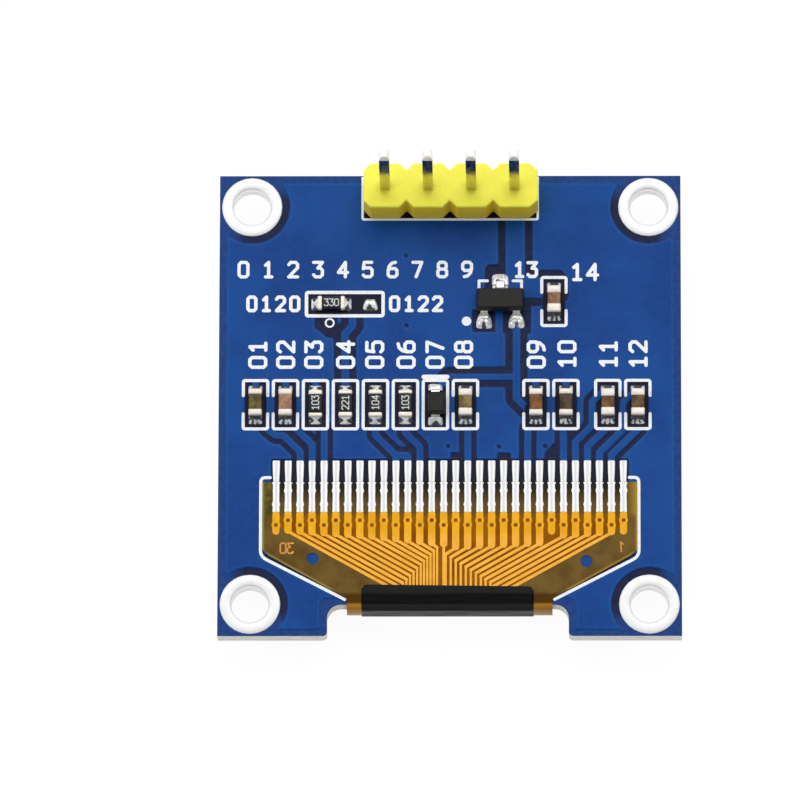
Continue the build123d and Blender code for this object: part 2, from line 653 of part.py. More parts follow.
def gull_lead(width, body_edge, span, height):
    """A bent lead on the +Y side: out of the body, down, and out along the pad."""
    t = 0.13
    shoulder = body_edge + 0.22
    profile = [(body_edge, height), (body_edge, height - t), (shoulder - t, height - t),
               (shoulder, Z_CHIP + t / 2), (shoulder + 0.03, Z_CHIP), (span, Z_CHIP),
               (span, Z_CHIP + t), (shoulder + t, Z_CHIP + t), (shoulder, height)]
    return prism_x(profile, -width / 2, width / 2)


def regulator_lead_set():
    leads = []
    waist = Z_CHIP + 0.08 + REGULATOR_HEIGHT / 2
    for x, side in regulator_leads():
        lead = gull_lead(REGULATOR_LEAD_WIDTH, REGULATOR_DEPTH / 2, REGULATOR_SPAN / 2, waist + 0.065)
        leads.append(Pos(x, REGULATOR_Y) * Rotation(0, 0, 0 if side > 0 else 180) * lead)
    return Compound(leads)


def diode_lead_set():
    waist = Z_CHIP + 0.08 + DIODE_HEIGHT / 2
    lead = gull_lead(DIODE_LEAD_WIDTH, DIODE_LENGTH / 2, DIODE_SPAN / 2, waist)
    return Compound([Pos(DIODE_X, 0) * lead, Pos(DIODE_X, 0) * Rotation(0, 0, 180) * lead])


# ---------------------------------------------------------------- assembly
def build_nodes():
    nodes = {
        "laminate": laminate(),
        "solder_mask_back": solder_mask_back(),
        "silkscreen_back": silkscreen_back(),
        "header_housing": header_housing(),
        "header_solder": header_solder(),
        "polarizer": polarizer(),
        "front_glass": front_glass(),
        "edge_seal": edge_seal(),
        "rear_glass": rear_glass(),
        "emitter_film": emitter_film(),
        "desiccant_sheet": desiccant_sheet(),
        "driver_chip": driver_chip(),
        "mounting_tape": mounting_tape(),
        "flex_film": flex_film(),
        "flex_lands": flex_lands(),
        "flex_fingers": flex_fingers(),
        "flex_tracks": flex_tracks(),
        "bend_tape": bend_tape(),
        "chip_solder": chip_solder(),
        "diode_body": moulded_body(DIODE_WIDTH, DIODE_LENGTH, DIODE_HEIGHT, DIODE_X, 0),
        "diode_leads": diode_lead_set(),
        "regulator_body": moulded_body(REGULATOR_WIDTH, REGULATOR_DEPTH, REGULATOR_HEIGHT,
                                       REGULATOR_X, REGULATOR_Y),
        "regulator_leads": regulator_lead_set(),
    }
    for number, (x, y) in enumerate(RING_SPOTS, start=1):
        nodes[f"mounting_ring_{number}"] = mounting_ring(x, y)
    for number, x in enumerate(PIN_XS, start=1):
        nodes[f"header_pin_{number}"] = header_pin(x)
    for name, kind, x, y, lies_along_x in CHIPS:
        height, terminal = {"capacitor": (CAPACITOR_HEIGHT, CAPACITOR_TERMINAL),
                            "resistor": (RESISTOR_HEIGHT, RESISTOR_TERMINAL)}[kind]
        nodes[name] = placed(chip_body(height), x, y, lies_along_x)
        nodes[f"{name}_terminals"] = placed(chip_terminals(height, terminal), x, y, lies_along_x)
    return nodes


os.makedirs("parts", exist_ok=True)
for node_name, shape in build_nodes().items():
    export_step(shape, f"parts/{node_name}.step")
    print(f"{node_name}: {len(shape.solids())} solids, {shape.volume:.3f} mm3")
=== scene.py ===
import math

import bmesh
import bpy
import numpy as np
from mathutils import Matrix, Vector
from mathutils.geometry import delaunay_2d_cdt


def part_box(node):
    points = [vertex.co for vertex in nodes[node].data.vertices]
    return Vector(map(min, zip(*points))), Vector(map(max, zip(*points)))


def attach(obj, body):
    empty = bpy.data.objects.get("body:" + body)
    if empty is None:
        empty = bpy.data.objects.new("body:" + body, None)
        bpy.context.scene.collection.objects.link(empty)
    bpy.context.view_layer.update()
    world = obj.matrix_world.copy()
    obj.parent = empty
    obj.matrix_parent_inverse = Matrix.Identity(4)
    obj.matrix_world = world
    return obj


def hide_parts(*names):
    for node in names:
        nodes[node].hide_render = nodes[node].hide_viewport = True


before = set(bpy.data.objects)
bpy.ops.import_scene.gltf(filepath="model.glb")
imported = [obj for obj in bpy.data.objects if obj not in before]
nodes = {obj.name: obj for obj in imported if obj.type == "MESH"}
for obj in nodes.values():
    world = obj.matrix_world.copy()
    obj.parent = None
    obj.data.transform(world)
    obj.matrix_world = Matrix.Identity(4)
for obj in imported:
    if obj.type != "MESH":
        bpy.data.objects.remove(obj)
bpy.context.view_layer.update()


# ---------------------------------------------------------------- bare board
# The board is a sheet of woven glass in epoxy, 1.15 mm thick, sawn and milled to its outline.
# Its cut edge stays pale and shows the layers; its display side carries a blue coating.
MM = 0.001


def tone(red, green, blue):
    """A colour as the eye sees it, 0 to 255 a channel, on the shader's own scale."""
    seen = [channel / 255 for channel in (red, green, blue)]
    return tuple(((c + 0.055) / 1.055) ** 2.4 if c > 0.04 else c / 12.92 for c in seen) + (1.0,)


RANGE_SOCKETS = ("From Min", "From Max", "To Min", "To Max")


class Finish:
    """A material: one Principled shader and the few nodes that its pattern needs, in millimetres."""

    def __init__(self, name, colour, roughness=0.5, metallic=0.0, specular=0.5):
        self.material = bpy.data.materials.new(name)
        self.material.use_nodes = True
        self.tree = self.material.node_tree
        self.shader = self.tree.nodes["Principled BSDF"]
        self.set(**{"Base Color": tone(*colour), "Roughness": roughness, "Metallic": metallic,
                    "Specular IOR Level": specular})
        self.millimetres = None

    def set(self, **sockets):
        for socket, value in sockets.items():
            self.shader.inputs[socket].default_value = value

    def node(self, kind, **settings):
        made = self.tree.nodes.new("ShaderNode" + kind)
        for name, value in settings.items():
            setattr(made, name, value)
        return made

    def link(self, source, target):
        self.tree.links.new(source, target)
        return source

    def place(self, stretch=(1, 1, 1)):
        """Object coordinates in millimetres, stretched along the axes."""
        if self.millimetres is None:
            self.millimetres = self.node("TexCoord").outputs["Object"]
        mapping = self.node("Mapping")
        mapping.inputs["Scale"].default_value = [1000 * s for s in stretch]
        self.link(self.millimetres, mapping.inputs["Vector"])
        return mapping.outputs["Vector"]

    def along(self, axis):
        """One object coordinate, in millimetres."""
        split = self.node("SeparateXYZ")
        self.link(self.place(), split.inputs[0])
        return split.outputs[axis]

    def noise(self, scale, detail=3.0, stretch=(1, 1, 1), rough=0.55):
        made = self.node("TexNoise")
        made.inputs["Scale"].default_value = scale
        made.inputs["Detail"].default_value = detail
        made.inputs["Roughness"].default_value = rough
        self.link(self.place(stretch), made.inputs["Vector"])
        return made.outputs["Fac"]

    def patches(self, scale, detail, *limits):
        """Noise carried over to the given range, for soft patches."""
        return self.spread(self.noise(scale, detail), *limits)

    def attribute(self, name):
        return self.node("Attribute", attribute_name=name).outputs["Fac"]

    def spread(self, value, low, high, to_low=0.0, to_high=1.0, smooth=True):
        """The value carried over from one range to another and held at both ends."""
        made = self.node("MapRange", interpolation_type="SMOOTHSTEP" if smooth else "LINEAR")
        for name, number in zip(RANGE_SOCKETS, (low, high, to_low, to_high)):
            made.inputs[name].default_value = number
        self.link(value, made.inputs["Value"])
        return made.outputs["Result"]

    def join(self, operation, first, second):
        made = self.node("Math", operation=operation)
        for socket, value in zip(made.inputs, (first, second)):
            if isinstance(value, (int, float)):
                socket.default_value = value
            else:
                self.link(value, socket)
        return made.outputs[0]

    def mix(self, share, first, second):
        """One colour turning into another; each is a tone, 0 to 255 a channel, or a node's output."""
        made = self.node("Mix", data_type="RGBA")
        for socket, value in ((made.inputs[0], share), (made.inputs[6], first), (made.inputs[7], second)):
            if isinstance(value, tuple):
                socket.default_value = tone(*value)
            elif isinstance(value, (float, int)):
                socket.default_value = value
            else:
                self.link(value, socket)
        return made.outputs[2]

    def colour(self, output):
        self.link(output, self.shader.inputs["Base Color"])

    def roughness(self, output):
        self.link(output, self.shader.inputs["Roughness"])

    def clouds(self, scale, detail, first, second):
        """The piece's colour, in clouds of two tones."""
        self.colour(self.mix(self.noise(scale, detail), first, second))

    def relief(self, scale, detail, depth, strength=1.0):
        """A fine unevenness of the given depth."""
        self.bump(self.noise(scale, detail), depth, strength)

    def bump(self, height, depth, strength=1.0):
        """Height, 0 to 1, as a relief of the given depth in millimetres."""
        made = self.node("Bump")
        made.inputs["Distance"].default_value = depth * MM
        made.inputs["Strength"].default_value = strength
        self.link(height, made.inputs["Height"])
        self.link(made.outputs["Normal"], self.shader.inputs["Normal"])


def paint(target, finish):
    """Gives a piece one finish, in place of whatever it had."""
    target.data.materials.clear()
    target.data.materials.append(finish.material)


def height_of(node, end):
    """The lowest (0) or highest (1) level of a CAD node, in millimetres."""
    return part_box(node)[end].z / MM


BOARD_FRONT = height_of("laminate", 0)
BOARD_BACK = height_of("laminate", 1)
laminate = Finish("woven glass board", (196, 190, 160), roughness=0.62, specular=0.35)
layer_lines = laminate.noise(5.0, 4.0, stretch=(0.25, 0.25, 3.2))
fibre_ends = laminate.noise(26.0, 2.0, stretch=(1, 1, 0.6))
edge_colour = laminate.mix(laminate.spread(layer_lines, 0.38, 0.64), (222, 220, 212), (242, 240, 232))
edge_colour = laminate.mix(laminate.spread(fibre_ends, 0.55, 0.72, 0.0, 0.45), edge_colour,
                           (244, 242, 232))
front_coat = laminate.mix(laminate.noise(1.3), (20, 64, 132), (25, 74, 146))
above_coat = laminate.spread(laminate.along("Z"), BOARD_FRONT + 0.012, BOARD_FRONT + 0.03)
laminate.colour(laminate.mix(above_coat, front_coat, edge_colour))
laminate.relief(20.0, 4.0, 0.012)
paint(nodes["laminate"], laminate)


# ---------------------------------------------------------------- solder mask
# A coat of blue lacquer over the copper on the component side. Where the copper is etched away
# it lies 0.03 mm lower and looks nearly black blue, so the tracks can be read through it.
SKIN_TOP = height_of("solder_mask_back", 1)
GROOVE_DEPTH = 0.03
CELL = 0.125  # spacing of the points on the lacquer's top
EDGE_BAND = 0.42  # bare laminate along the board's edge
RING_CLEARANCE = 2.22
SPOKE_HALF, BRIDGE_HALF, SEAM_HALF, VIA_RADIUS = 0.2, 0.22, 0.15, 0.13
BOARD_X, BOARD_Y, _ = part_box("laminate")[1] / MM
LAND_PITCH = 0.7
LAND_COUNT = 30
LAND_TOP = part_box("flex_lands")[1].y / MM
LAND_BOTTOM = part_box("flex_lands")[0].y / MM


def land_x(number):
    """Place of a contact of the flexible circuit, counted from 1 at the left."""
    return (number - (LAND_COUNT + 1) / 2) * LAND_PITCH


def middle_of(node):
    """The middle of a CAD node's box, in millimetres."""
    low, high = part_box(node)
    return (low + high) / 2 / MM


CHIP_ROW = ["capacitor_1", "capacitor_2", "resistor_1", "resistor_2", "resistor_3", "resistor_4",
            "capacitor_3", "capacitor_4", "capacitor_5", "capacitor_6", "capacitor_7"]
CHIPS_APART = ["capacitor_8", "resistor_5", "diode_body", "regulator_body"]
SPOT = {name: middle_of(name) for name in CHIP_ROW + CHIPS_APART}
RING_SPOTS = [middle_of(f"mounting_ring_{number}") for number in (1, 2, 3, 4)]


def track_routes():
    """Tracks under the lacquer: width, clearance at each side, and the points they run through."""
    x = {name: spot.x for name, spot in SPOT.items()}
    pad, end = -0.85, LAND_TOP + 0.06
    c6, c7 = x["capacitor_6"], x["capacitor_7"]
    routes = [
        [(x["capacitor_1"] + 0.2, pad), (x["capacitor_1"] + 0.75, -1.5), (-10.2, -1.85), (-9.75, -1.85),
         (land_x(3), -2.85), (land_x(3), end)],
        [(x["capacitor_2"] + 0.3, pad), (-8.95, -1.5), (land_x(4), -2.4), (land_x(4), end)],
        [(x["resistor_1"] + 0.2, pad), (land_x(5), -1.5), (land_x(5), end)],
        [(x["resistor_3"], pad), (x["resistor_3"], -1.85), (land_x(11), -3.06), (land_x(11), end)],
        [(x["resistor_3"] + 0.5, -2.35), (land_x(11), -3.06), (land_x(12), -3.06), (land_x(12), end)],
        [(x["resistor_4"], pad), (x["resistor_4"], -1.7), (land_x(13), -2.55), (land_x(13), end)],
        [(x["capacitor_3"], pad), (land_x(17), -1.3), (land_x(17), end)],
        [(x["capacitor_4"], pad), (4.56, -1.45), (land_x(22), end)],
        [(x["capacitor_5"], pad), (6.64, -1.4), (land_x(25), end)],
        [(c6, 0.85), (8.75, 0.6), (8.33, 0.15), (8.33, -1.25), (land_x(26), -2.25), (land_x(26), end)],
        [(c6, pad), (9.1, -1.5), (land_x(27), -2.55), (land_x(27), end)],
        [(c7, 0.85), (10.5, 0.5), (10.13, 0.1), (10.13, -1.5), (land_x(28), -2.9), (land_x(28), end)],
        [(c7, pad), (11.0, -1.5), (land_x(29), -3.05), (land_x(29), end)],
    ]
    signal = [(0.42, 0.3, route) for route in routes]
    supply = [
        (0.45, 0.42, [(3.9, 5.0), (3.9, 0.4), (4.65, -0.35), (x["capacitor_4"], -0.7)]),
        (0.4, 0.42, [(3.9, 1.68), (0.0, 1.68), (x["diode_body"], 0.9)]),
        (0.46, 0.42, [(x["resistor_2"], 0.85), (-6.17, 4.25), (-5.72, 4.8), (-5.72, 5.4), (-6.18, 6.09)]),
    ]
    return signal + supply


def oblong(left, bottom, right, top):
    """Corners of a patch whose sides run along X and Y."""
    return [(left, bottom), (right, bottom), (right, top), (left, top)]


PATCH_X, PATCH_Y = 0.63, 1.37  # half the bare patch inside a chip's printed frame
SELECTOR_PATCH = oblong(-8.35, 5.46, -4.01, 6.72)


def chip_patch(name, upwards=PATCH_Y):
    x, y, _ = SPOT[name]
    return oblong(x - PATCH_X, y - PATCH_Y, x + PATCH_X, y + upwards)


def patches_with_parts():
    """Bare patches under the chips, the selector, the contacts and the header."""
    row_end = land_x(LAND_COUNT) + 0.32
    patches = [chip_patch(name) for name in CHIP_ROW + ["capacitor_8", "diode_body"]]
    patches.append(SELECTOR_PATCH)
    patches.append(oblong(-row_end, LAND_BOTTOM - 0.1, row_end, LAND_TOP + 0.08))
    patches.append(oblong(-5.1, 11.3, 5.1, 13.75))
    return patches


def patches_between():
    """Bare patches that are left over between tracks, wider than the tracks' clearance."""
    return [
        oblong(0.05, LAND_TOP, 0.7, -2.88),
        oblong(2.77, LAND_TOP, 3.57, -2.9),
        [(5.53, LAND_TOP), (5.53, -2.95), (6.1, -2.3), (6.42, -2.3), (6.42, LAND_TOP)],
        oblong(2.83, 7.4, 3.26, 11.3),
        [(2.05, 6.6), (2.05, 8.25), (2.25, 8.5), (3.26, 8.5), (3.26, 7.3), (3.5, 7.0), (3.5, 6.6)],
        oblong(4.25, 5.97, 5.4, 6.45),
        oblong(1.3, 4.4, 2.65, 5.75),
        oblong(3.1, 4.3, 4.75, 5.97),
        [(-7.95, 5.4), (-7.95, 4.7), (-7.2, 4.05), (-6.6, 4.05), (-6.6, 5.4)],
    ]


def to_route(places, route):
    """Distance of each place from a line through the route's points."""
    best = np.full(len(places), np.inf)
    for start, end in zip(np.array(route[:-1], float), np.array(route[1:], float)):
        run = end - start
        share = np.clip(((places - start) @ run) / (run @ run), 0, 1)
        best = np.minimum(best, np.linalg.norm(places - start - share[:, None] * run, axis=1))
    return best


def within(places, edges):
    """Whether each place lies inside closed outlines: an odd number of edges lies to its right."""
    inside = np.zeros(len(places), bool)
    for (ax, ay), (bx, by) in edges:
        if ay != by:
            level = (places[:, 1] > min(ay, by)) & (places[:, 1] <= max(ay, by))
            inside ^= level & (places[:, 0] < ax + (places[:, 1] - ay) * (bx - ax) / (by - ay))
    return inside


def to_patch(places, corners):
    """Distance of each place from a closed outline, less than nothing inside it."""
    away = to_route(places, corners + corners[:1])
    return np.where(within(places, zip(corners, corners[1:] + corners[:1])), -away, away)


def to_spot(places, spot):
    """Distance of each place from one point."""
    return np.hypot(places[:, 0] - spot[0], places[:, 1] - spot[1])


VIAS = [(-2.6, 9.05), (-2.55, 4.8), (-0.1, -2.5), (2.88, -2.53), (5.57, -2.5)]
NOTCH_LEFT, NOTCH_RIGHT = -7.15, 6.95
NOTCH_Y = -12.03


def board_outline():
    """Corners of the board and its notch."""
    return [(-BOARD_X, -BOARD_Y), (NOTCH_LEFT, -BOARD_Y), (NOTCH_LEFT, NOTCH_Y), (NOTCH_RIGHT, NOTCH_Y),
            (NOTCH_RIGHT, -BOARD_Y), (BOARD_X, -BOARD_Y), (BOARD_X, BOARD_Y), (-BOARD_X, BOARD_Y)]


def copper_depth(places):
    """How far each place lies inside the copper's edge, in millimetres; less than nothing outside."""
    routes = track_routes()
    seams = [[(side * 10.95, -9.06), (side * 6.12, -11.62)] for side in (-1, 1)]
    bridge = [(4.62, 11.3), (4.62, 7.95), (6.45, 7.95), (6.72, 7.6), (6.72, 6.5)]
    bare = [-to_patch(places, board_outline()) - EDGE_BAND]
    bare += [to_spot(places, spot) - RING_CLEARANCE for spot in RING_SPOTS]
    bare += [to_patch(places, corners) for corners in patches_with_parts() + patches_between()]
    bare += [to_route(places, seam) - SEAM_HALF for seam in seams]
    bare += [to_route(places, bridge) - BRIDGE_HALF]
    bare += [to_route(places, route) - width / 2 - clearance for width, clearance, route in routes]
    # a conductor is bare, so dark, where it passes under the lower half of a chip's frame
    shut = [to_patch(places, SELECTOR_PATCH)]
    shut += [to_patch(places, chip_patch(name, upwards=0.0)) for name in CHIP_ROW + ["diode_body"]]
    shut = np.min(shut, axis=0) + 0.02
    plane = [np.min(bare, axis=0)]
    plane += [np.minimum(width / 2 - to_route(places, route), shut) for width, _, route in routes]
    # spokes join the upper pads of some chips to the copper round them
    for name in ("capacitor_1", "capacitor_2", "resistor_1", "capacitor_4", "capacitor_5"):
        plane.append(SPOKE_HALF - to_route(places, [(SPOT[name].x, 1.15), (SPOT[name].x, 1.6)]))
    pits = [to_spot(places, via) - VIA_RADIUS for via in VIAS]
    return np.min([np.max(plane, axis=0)] + pits, axis=0)


def link_piece(name, mesh):
    piece = bpy.data.objects.new(name, mesh)
    bpy.context.scene.collection.objects.link(piece)
    return piece


def piece_from(name, points, faces, smooth=False):
    """A piece from points in millimetres and the faces between them."""
    mesh = bpy.data.meshes.new(name)
    mesh.from_pydata([[c * MM for c in point] for point in points], [], faces)
    mesh.validate()
    if smooth:
        mesh.shade_smooth()
    else:
        mesh.shade_flat()
    return link_piece(name, mesh)


def reworked(piece, change):
    """A piece after a change made to its opened mesh."""
    shape = bmesh.new()
    shape.from_mesh(piece.data)
    change(shape)
    shape.to_mesh(piece.data)
    shape.free()
    return piece


def drop_loose(shape):
    """Removes the points that no face uses."""
    bmesh.ops.delete(shape, geom=[v for v in shape.verts if not v.link_faces], context="VERTS")


def merge_twins(shape):
    """Removes loose points and makes one of those that lie in one place."""
    drop_loose(shape)
    bmesh.ops.remove_doubles(shape, verts=shape.verts, dist=1e-8)


def bounds_skin(edge):
    """Whether a rim edge of the CAD coat belongs to the board's outline or to a mounting hole."""
    spot = np.array([edge.verts[0].co[:2]], float) / MM
    near_ring = any(to_spot(spot, ring)[0] < RING_CLEARANCE - 0.12 for ring in RING_SPOTS)
    return near_ring or -to_patch(spot, board_outline())[0] < EDGE_BAND + 0.08


def coat_rim():
    """Points, and the edges between them, where the CAD coat ends at the board's rim and holes."""
    source = bmesh.new()
    source.from_mesh(nodes["solder_mask_back"].data)
    bmesh.ops.remove_doubles(source, verts=source.verts, dist=1e-7)
    top = max(v.co.z for v in source.verts) - 1e-6
    rim = [e for e in source.edges if all(v.co.z > top for v in e.verts)
           and any(abs(f.normal.z) < 0.5 for f in e.link_faces) and bounds_skin(e)]
    number = {v: i for i, v in enumerate(dict.fromkeys(v for e in rim for v in e.verts))}
    points = [Vector((v.co.x / MM, v.co.y / MM)) for v in number]
    edges = [(number[e.verts[0]], number[e.verts[1]]) for e in rim]
    source.free()
    return points, edges


def lacquer_skin():
    """The lacquer as a closed skin: a fine top that follows the copper, walls and a flat underside."""
    rim_points, rim_edges = coat_rim()
    xs = np.arange(-BOARD_X + CELL / 2, BOARD_X, CELL)
    ys = np.arange(-BOARD_Y + CELL / 2, BOARD_Y, CELL)
    inner = [Vector((x, y)) for x in xs for y in ys]
    points, _, faces = delaunay_2d_cdt(rim_points + inner, rim_edges, [], 1, 1e-5)[:3]
    flat = np.array([(p.x, p.y) for p in points])
    centres = np.array([(flat[a] + flat[b] + flat[c]) / 3 for a, b, c in faces])
    covered = within(centres, [(rim_points[i], rim_points[j]) for i, j in rim_edges])
    faces = [face for face, keep in zip(faces, covered) if keep]
    used = dict.fromkeys(way for face in faces for way in zip(face, face[1:] + face[:1]))
    border = [(i, j) for i, j in used if (j, i) not in used]
    depth, inland = copper_depth(flat), -to_patch(flat, board_outline())
    hollow = np.min([to_patch(flat, corners) for corners in patches_with_parts()], axis=0)
    lift = np.clip((depth + 0.06) / 0.12, 0, 1)
    heights = SKIN_TOP - GROOVE_DEPTH + GROOVE_DEPTH * lift * lift * (3 - 2 * lift)
    solid = [(x, y, z) for (x, y), z in zip(flat, heights)]
    foot = {}
    for i, _ in border:
        foot[i] = len(solid)
        solid.append((flat[i][0], flat[i][1], BOARD_BACK))
    base = len(solid)
    solid += [(x, y, BOARD_BACK) for x, y in flat]
    skin_faces = [list(face) for face in faces]
    skin_faces += [[j, i, foot[i], foot[j]] for i, j in border]
    skin_faces += [[base + i for i in reversed(face)] for face in faces]
    skin = piece_from("solder_mask", solid, skin_faces)
    for label, amounts in (("copper", depth), ("inland", inland), ("hollow", hollow)):
        values = np.full(len(solid), -1.0, np.float32)
        values[:len(flat)] = amounts
        values[base:] = amounts
        skin.data.attributes.new(label, "FLOAT", "POINT").data.foreach_set("value", values)
    return reworked(skin, merge_twins)


mask_piece = lacquer_skin()
lacquer = Finish("blue solder mask", (20, 68, 138), roughness=0.4, specular=0.1)
copper, inland, hollow = [lacquer.attribute(name) for name in ("copper", "inland", "hollow")]
blotches = lacquer.noise(0.22, 3.0)
grain = lacquer.noise(3.0, 2.0)
over_copper = lacquer.mix(lacquer.spread(blotches, 0.36, 0.64), (4, 57, 128), (9, 69, 143))
over_copper = lacquer.mix(lacquer.spread(grain, 0.3, 0.7, 0.0, 0.25), over_copper, (13, 75, 148))
near_tracks = lacquer.mix(lacquer.spread(grain, 0.35, 0.65), (14, 22, 56), (23, 31, 66))
# Inside the bare patches round the chips, the selector, the contacts and the header, the etched colour is
# painted darker still: painted shade under and round the parts.
near_tracks = lacquer.mix(lacquer.spread(hollow, -0.08, 0.04), (16, 18, 40), near_tracks)
# Near the board's outline the etched parts are painted a lighter blue: a painted glow of light passing
# through the laminate near its edge.
painted_edge_glow = lacquer.mix(lacquer.spread(grain, 0.35, 0.65), (18, 56, 118), (26, 64, 128))
over_glass = lacquer.mix(lacquer.spread(inland, 0.5, 1.7), painted_edge_glow, near_tracks)
# A lighter blue band just inside each copper edge is a painted highlight.
painted_rim_highlight = lacquer.join("MULTIPLY", lacquer.spread(copper, 0.02, 0.07),
                        lacquer.spread(copper, 0.09, 0.2, 1.0, 0.0))
over_copper = lacquer.mix(lacquer.join("MULTIPLY", painted_rim_highlight, 0.3), over_copper, (24, 92, 156))
lacquer.colour(lacquer.mix(lacquer.spread(copper, -0.035, 0.03), over_glass, over_copper))
lacquer.relief(1.6, 2.0, 0.01, 0.5)
paint(mask_piece, lacquer)
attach(mask_piece, "root")
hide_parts("solder_mask_back")


# ---------------------------------------------------------------- white print
# Frames, outlines and numbers are screen printed on the lacquer in white epoxy ink, 0.015 mm
# thick. The printing leaves round line ends and slightly uneven edges.
INK_TOP = height_of("silkscreen_back", 1)
LINE = 0.18
FRAME_X, FRAME_Y = 1.61 / 2 - LINE / 2, 3.1 / 2 - LINE / 2


def capsule(start, end, width, sides=7):
    """Outline of one straight stroke with round ends, anticlockwise."""
    (ax, ay), (bx, by) = start, end
    heading = math.atan2(by - ay, bx - ax)
    points = []
    for (x, y), turn in (((bx, by), heading - math.pi / 2), ((ax, ay), heading + math.pi / 2)):
        for step in range(sides + 1):
            angle = turn + math.pi * step / sides
            points.append((x + width / 2 * math.cos(angle), y + width / 2 * math.sin(angle)))
    return points


def disc(x, y, radius, sides=24):
    return [(x + radius * math.cos(2 * math.pi * i / sides), y + radius * math.sin(2 * math.pi * i / sides))
            for i in range(sides)]


def strokes(route, width):
    """Outlines of the strokes along a route, one for each of its straight runs."""
    return [capsule(start, end, width) for start, end in zip(route[:-1], route[1:])]


def softened(route, radius, closed=False):
    """A route with its corners rounded."""
    if closed:
        route = [route[-1]] + route + [route[0]]
    points = [] if closed else [route[0]]
    for before, corner, after in zip(route[:-2], route[1:-1], route[2:]):
        into, out = Vector(corner) - Vector(before), Vector(after) - Vector(corner)
        reach = min(radius, into.length / 2, out.length / 2)
        first, last = Vector(corner) - into.normalized() * reach, Vector(corner) + out.normalized() * reach
        for share in (0, 0.2, 0.4, 0.6, 0.8, 1):
            spot = first.lerp(Vector(corner), share).lerp(Vector(corner).lerp(last, share), share)
            points.append((spot.x, spot.y))
    return points + [points[0]] if closed else points + [route[-1]]


def flat_union(solids, holes=()):
    """Triangles that cover every solid outline and no hole, with the points they use."""
    points, faces = [], []
    for outline in list(solids) + list(holes):
        area = sum(ax * by - bx * ay for (ax, ay), (bx, by) in zip(outline, outline[1:] + outline[:1]))
        ring = outline if area > 0 else outline[::-1]
        faces.append(list(range(len(points), len(points) + len(ring))))
        points += [Vector(point) for point in ring]
    flat, _, cells, _, _, owners = delaunay_2d_cdt(points, [], faces, 1, 1e-6)
    count = len(solids)
    kept = [cell for cell, who in zip(cells, owners) if who and all(i < count for i in who)]
    return [(p.x, p.y) for p in flat], kept


def plate(name, solids, low, high, holes=(), parts=()):
    """A closed plate between two levels; `parts` are further (solids, low, high) in the same piece."""
    points, faces = [], []
    for outlines, bottom, top in [(solids, low, high)] + list(parts):
        flat, cells = flat_union(outlines, holes)
        base, under = len(points), len(points) + len(flat)
        points += [(x, y, top) for x, y in flat] + [(x, y, bottom) for x, y in flat]
        faces += [[base + i for i in cell] for cell in cells]
        faces += [[under + i for i in reversed(cell)] for cell in cells]
        ways = {(i, j) for cell in cells for i, j in zip(cell, cell[1:] + cell[:1])}
        faces += [[base + j, base + i, under + i, under + j] for i, j in sorted(ways) if (j, i) not in ways]
    return reworked(piece_from(name, points, faces), drop_loose)


DIGITS = {
    "0": [[(0.12, 0), (0.44, 0), (0.56, 0.14), (0.56, 0.86), (0.44, 1), (0.12, 1), (0, 0.86), (0, 0.14),
           (0.12, 0)]],
    "1": [[(0.1, 0.8), (0.3, 1), (0.3, 0)], [(0.1, 0), (0.5, 0)]],
    "2": [[(0, 0.84), (0.12, 1), (0.44, 1), (0.56, 0.86), (0.56, 0.62), (0, 0), (0.56, 0)]],
    "3": [[(0, 1), (0.56, 1), (0.27, 0.6), (0.44, 0.6), (0.56, 0.46), (0.56, 0.14), (0.44, 0), (0.12, 0),
           (0, 0.14)]],
    "4": [[(0.44, 0), (0.44, 1), (0, 0.3), (0.58, 0.3)]],
    "5": [[(0.54, 1), (0.06, 1), (0, 0.56), (0.12, 0.62), (0.44, 0.62), (0.56, 0.48), (0.56, 0.14),
           (0.44, 0), (0.12, 0), (0, 0.12)]],
    "6": [[(0.46, 1), (0.24, 0.94), (0.06, 0.72), (0, 0.44), (0, 0.14), (0.12, 0), (0.44, 0),
           (0.56, 0.14), (0.56, 0.44), (0.44, 0.57), (0.12, 0.57), (0, 0.44)]],
    "7": [[(0, 1), (0.56, 1), (0.2, 0)]],
    "8": [[(0.12, 0), (0.44, 0), (0.56, 0.12), (0.56, 0.4), (0.44, 0.53), (0.12, 0.53), (0, 0.4),
           (0, 0.12), (0.12, 0)],
          [(0.12, 0.53), (0.03, 0.64), (0.03, 0.88), (0.14, 1), (0.42, 1), (0.53, 0.88), (0.53, 0.64),
           (0.44, 0.53)]],
    "9": [[(0.1, 0), (0.32, 0.06), (0.5, 0.28), (0.56, 0.56), (0.56, 0.86), (0.44, 1), (0.12, 1),
           (0, 0.86), (0, 0.56), (0.12, 0.43), (0.44, 0.43), (0.56, 0.56)]],
}


def numerals(text, left, bottom, height, line, advance, upright=True, stretch=1.0, mirrored=False):
    """Outlines of a row of plain digits; a row that isn't upright is read upwards."""
    outlines = []
    for place, digit in enumerate(text):
        for route in DIGITS[digit]:
            spots = []
            for x, y in route:
                along, across = place * advance + x * height * stretch, y * height
                along = -along if mirrored else along
                shift = (along, across) if upright else (-across, along)
                spots.append((left + shift[0], bottom + shift[1]))
            outlines += strokes(spots, line)
    return outlines


CORNER_ROUND = 0.12


def split_frame(x, y):
    """Strokes of a capacitor's frame, which is open in the middle of both long sides."""
    outlines = []
    for way in (1, -1):
        end, corner = y + way * 0.55, y + way * FRAME_Y
        arm = [(x - FRAME_X, end), (x - FRAME_X, corner), (x + FRAME_X, corner), (x + FRAME_X, end)]
        outlines += strokes(softened(arm, CORNER_ROUND), LINE)
    return outlines


def whole_frame(x, y, half_x, half_y, width):
    """Strokes of a closed frame."""
    corners = [(x + i * half_x, y + j * half_y) for i, j in ((-1, -1), (1, -1), (1, 1), (-1, 1))]
    return strokes(softened(corners, CORNER_ROUND, closed=True), width)


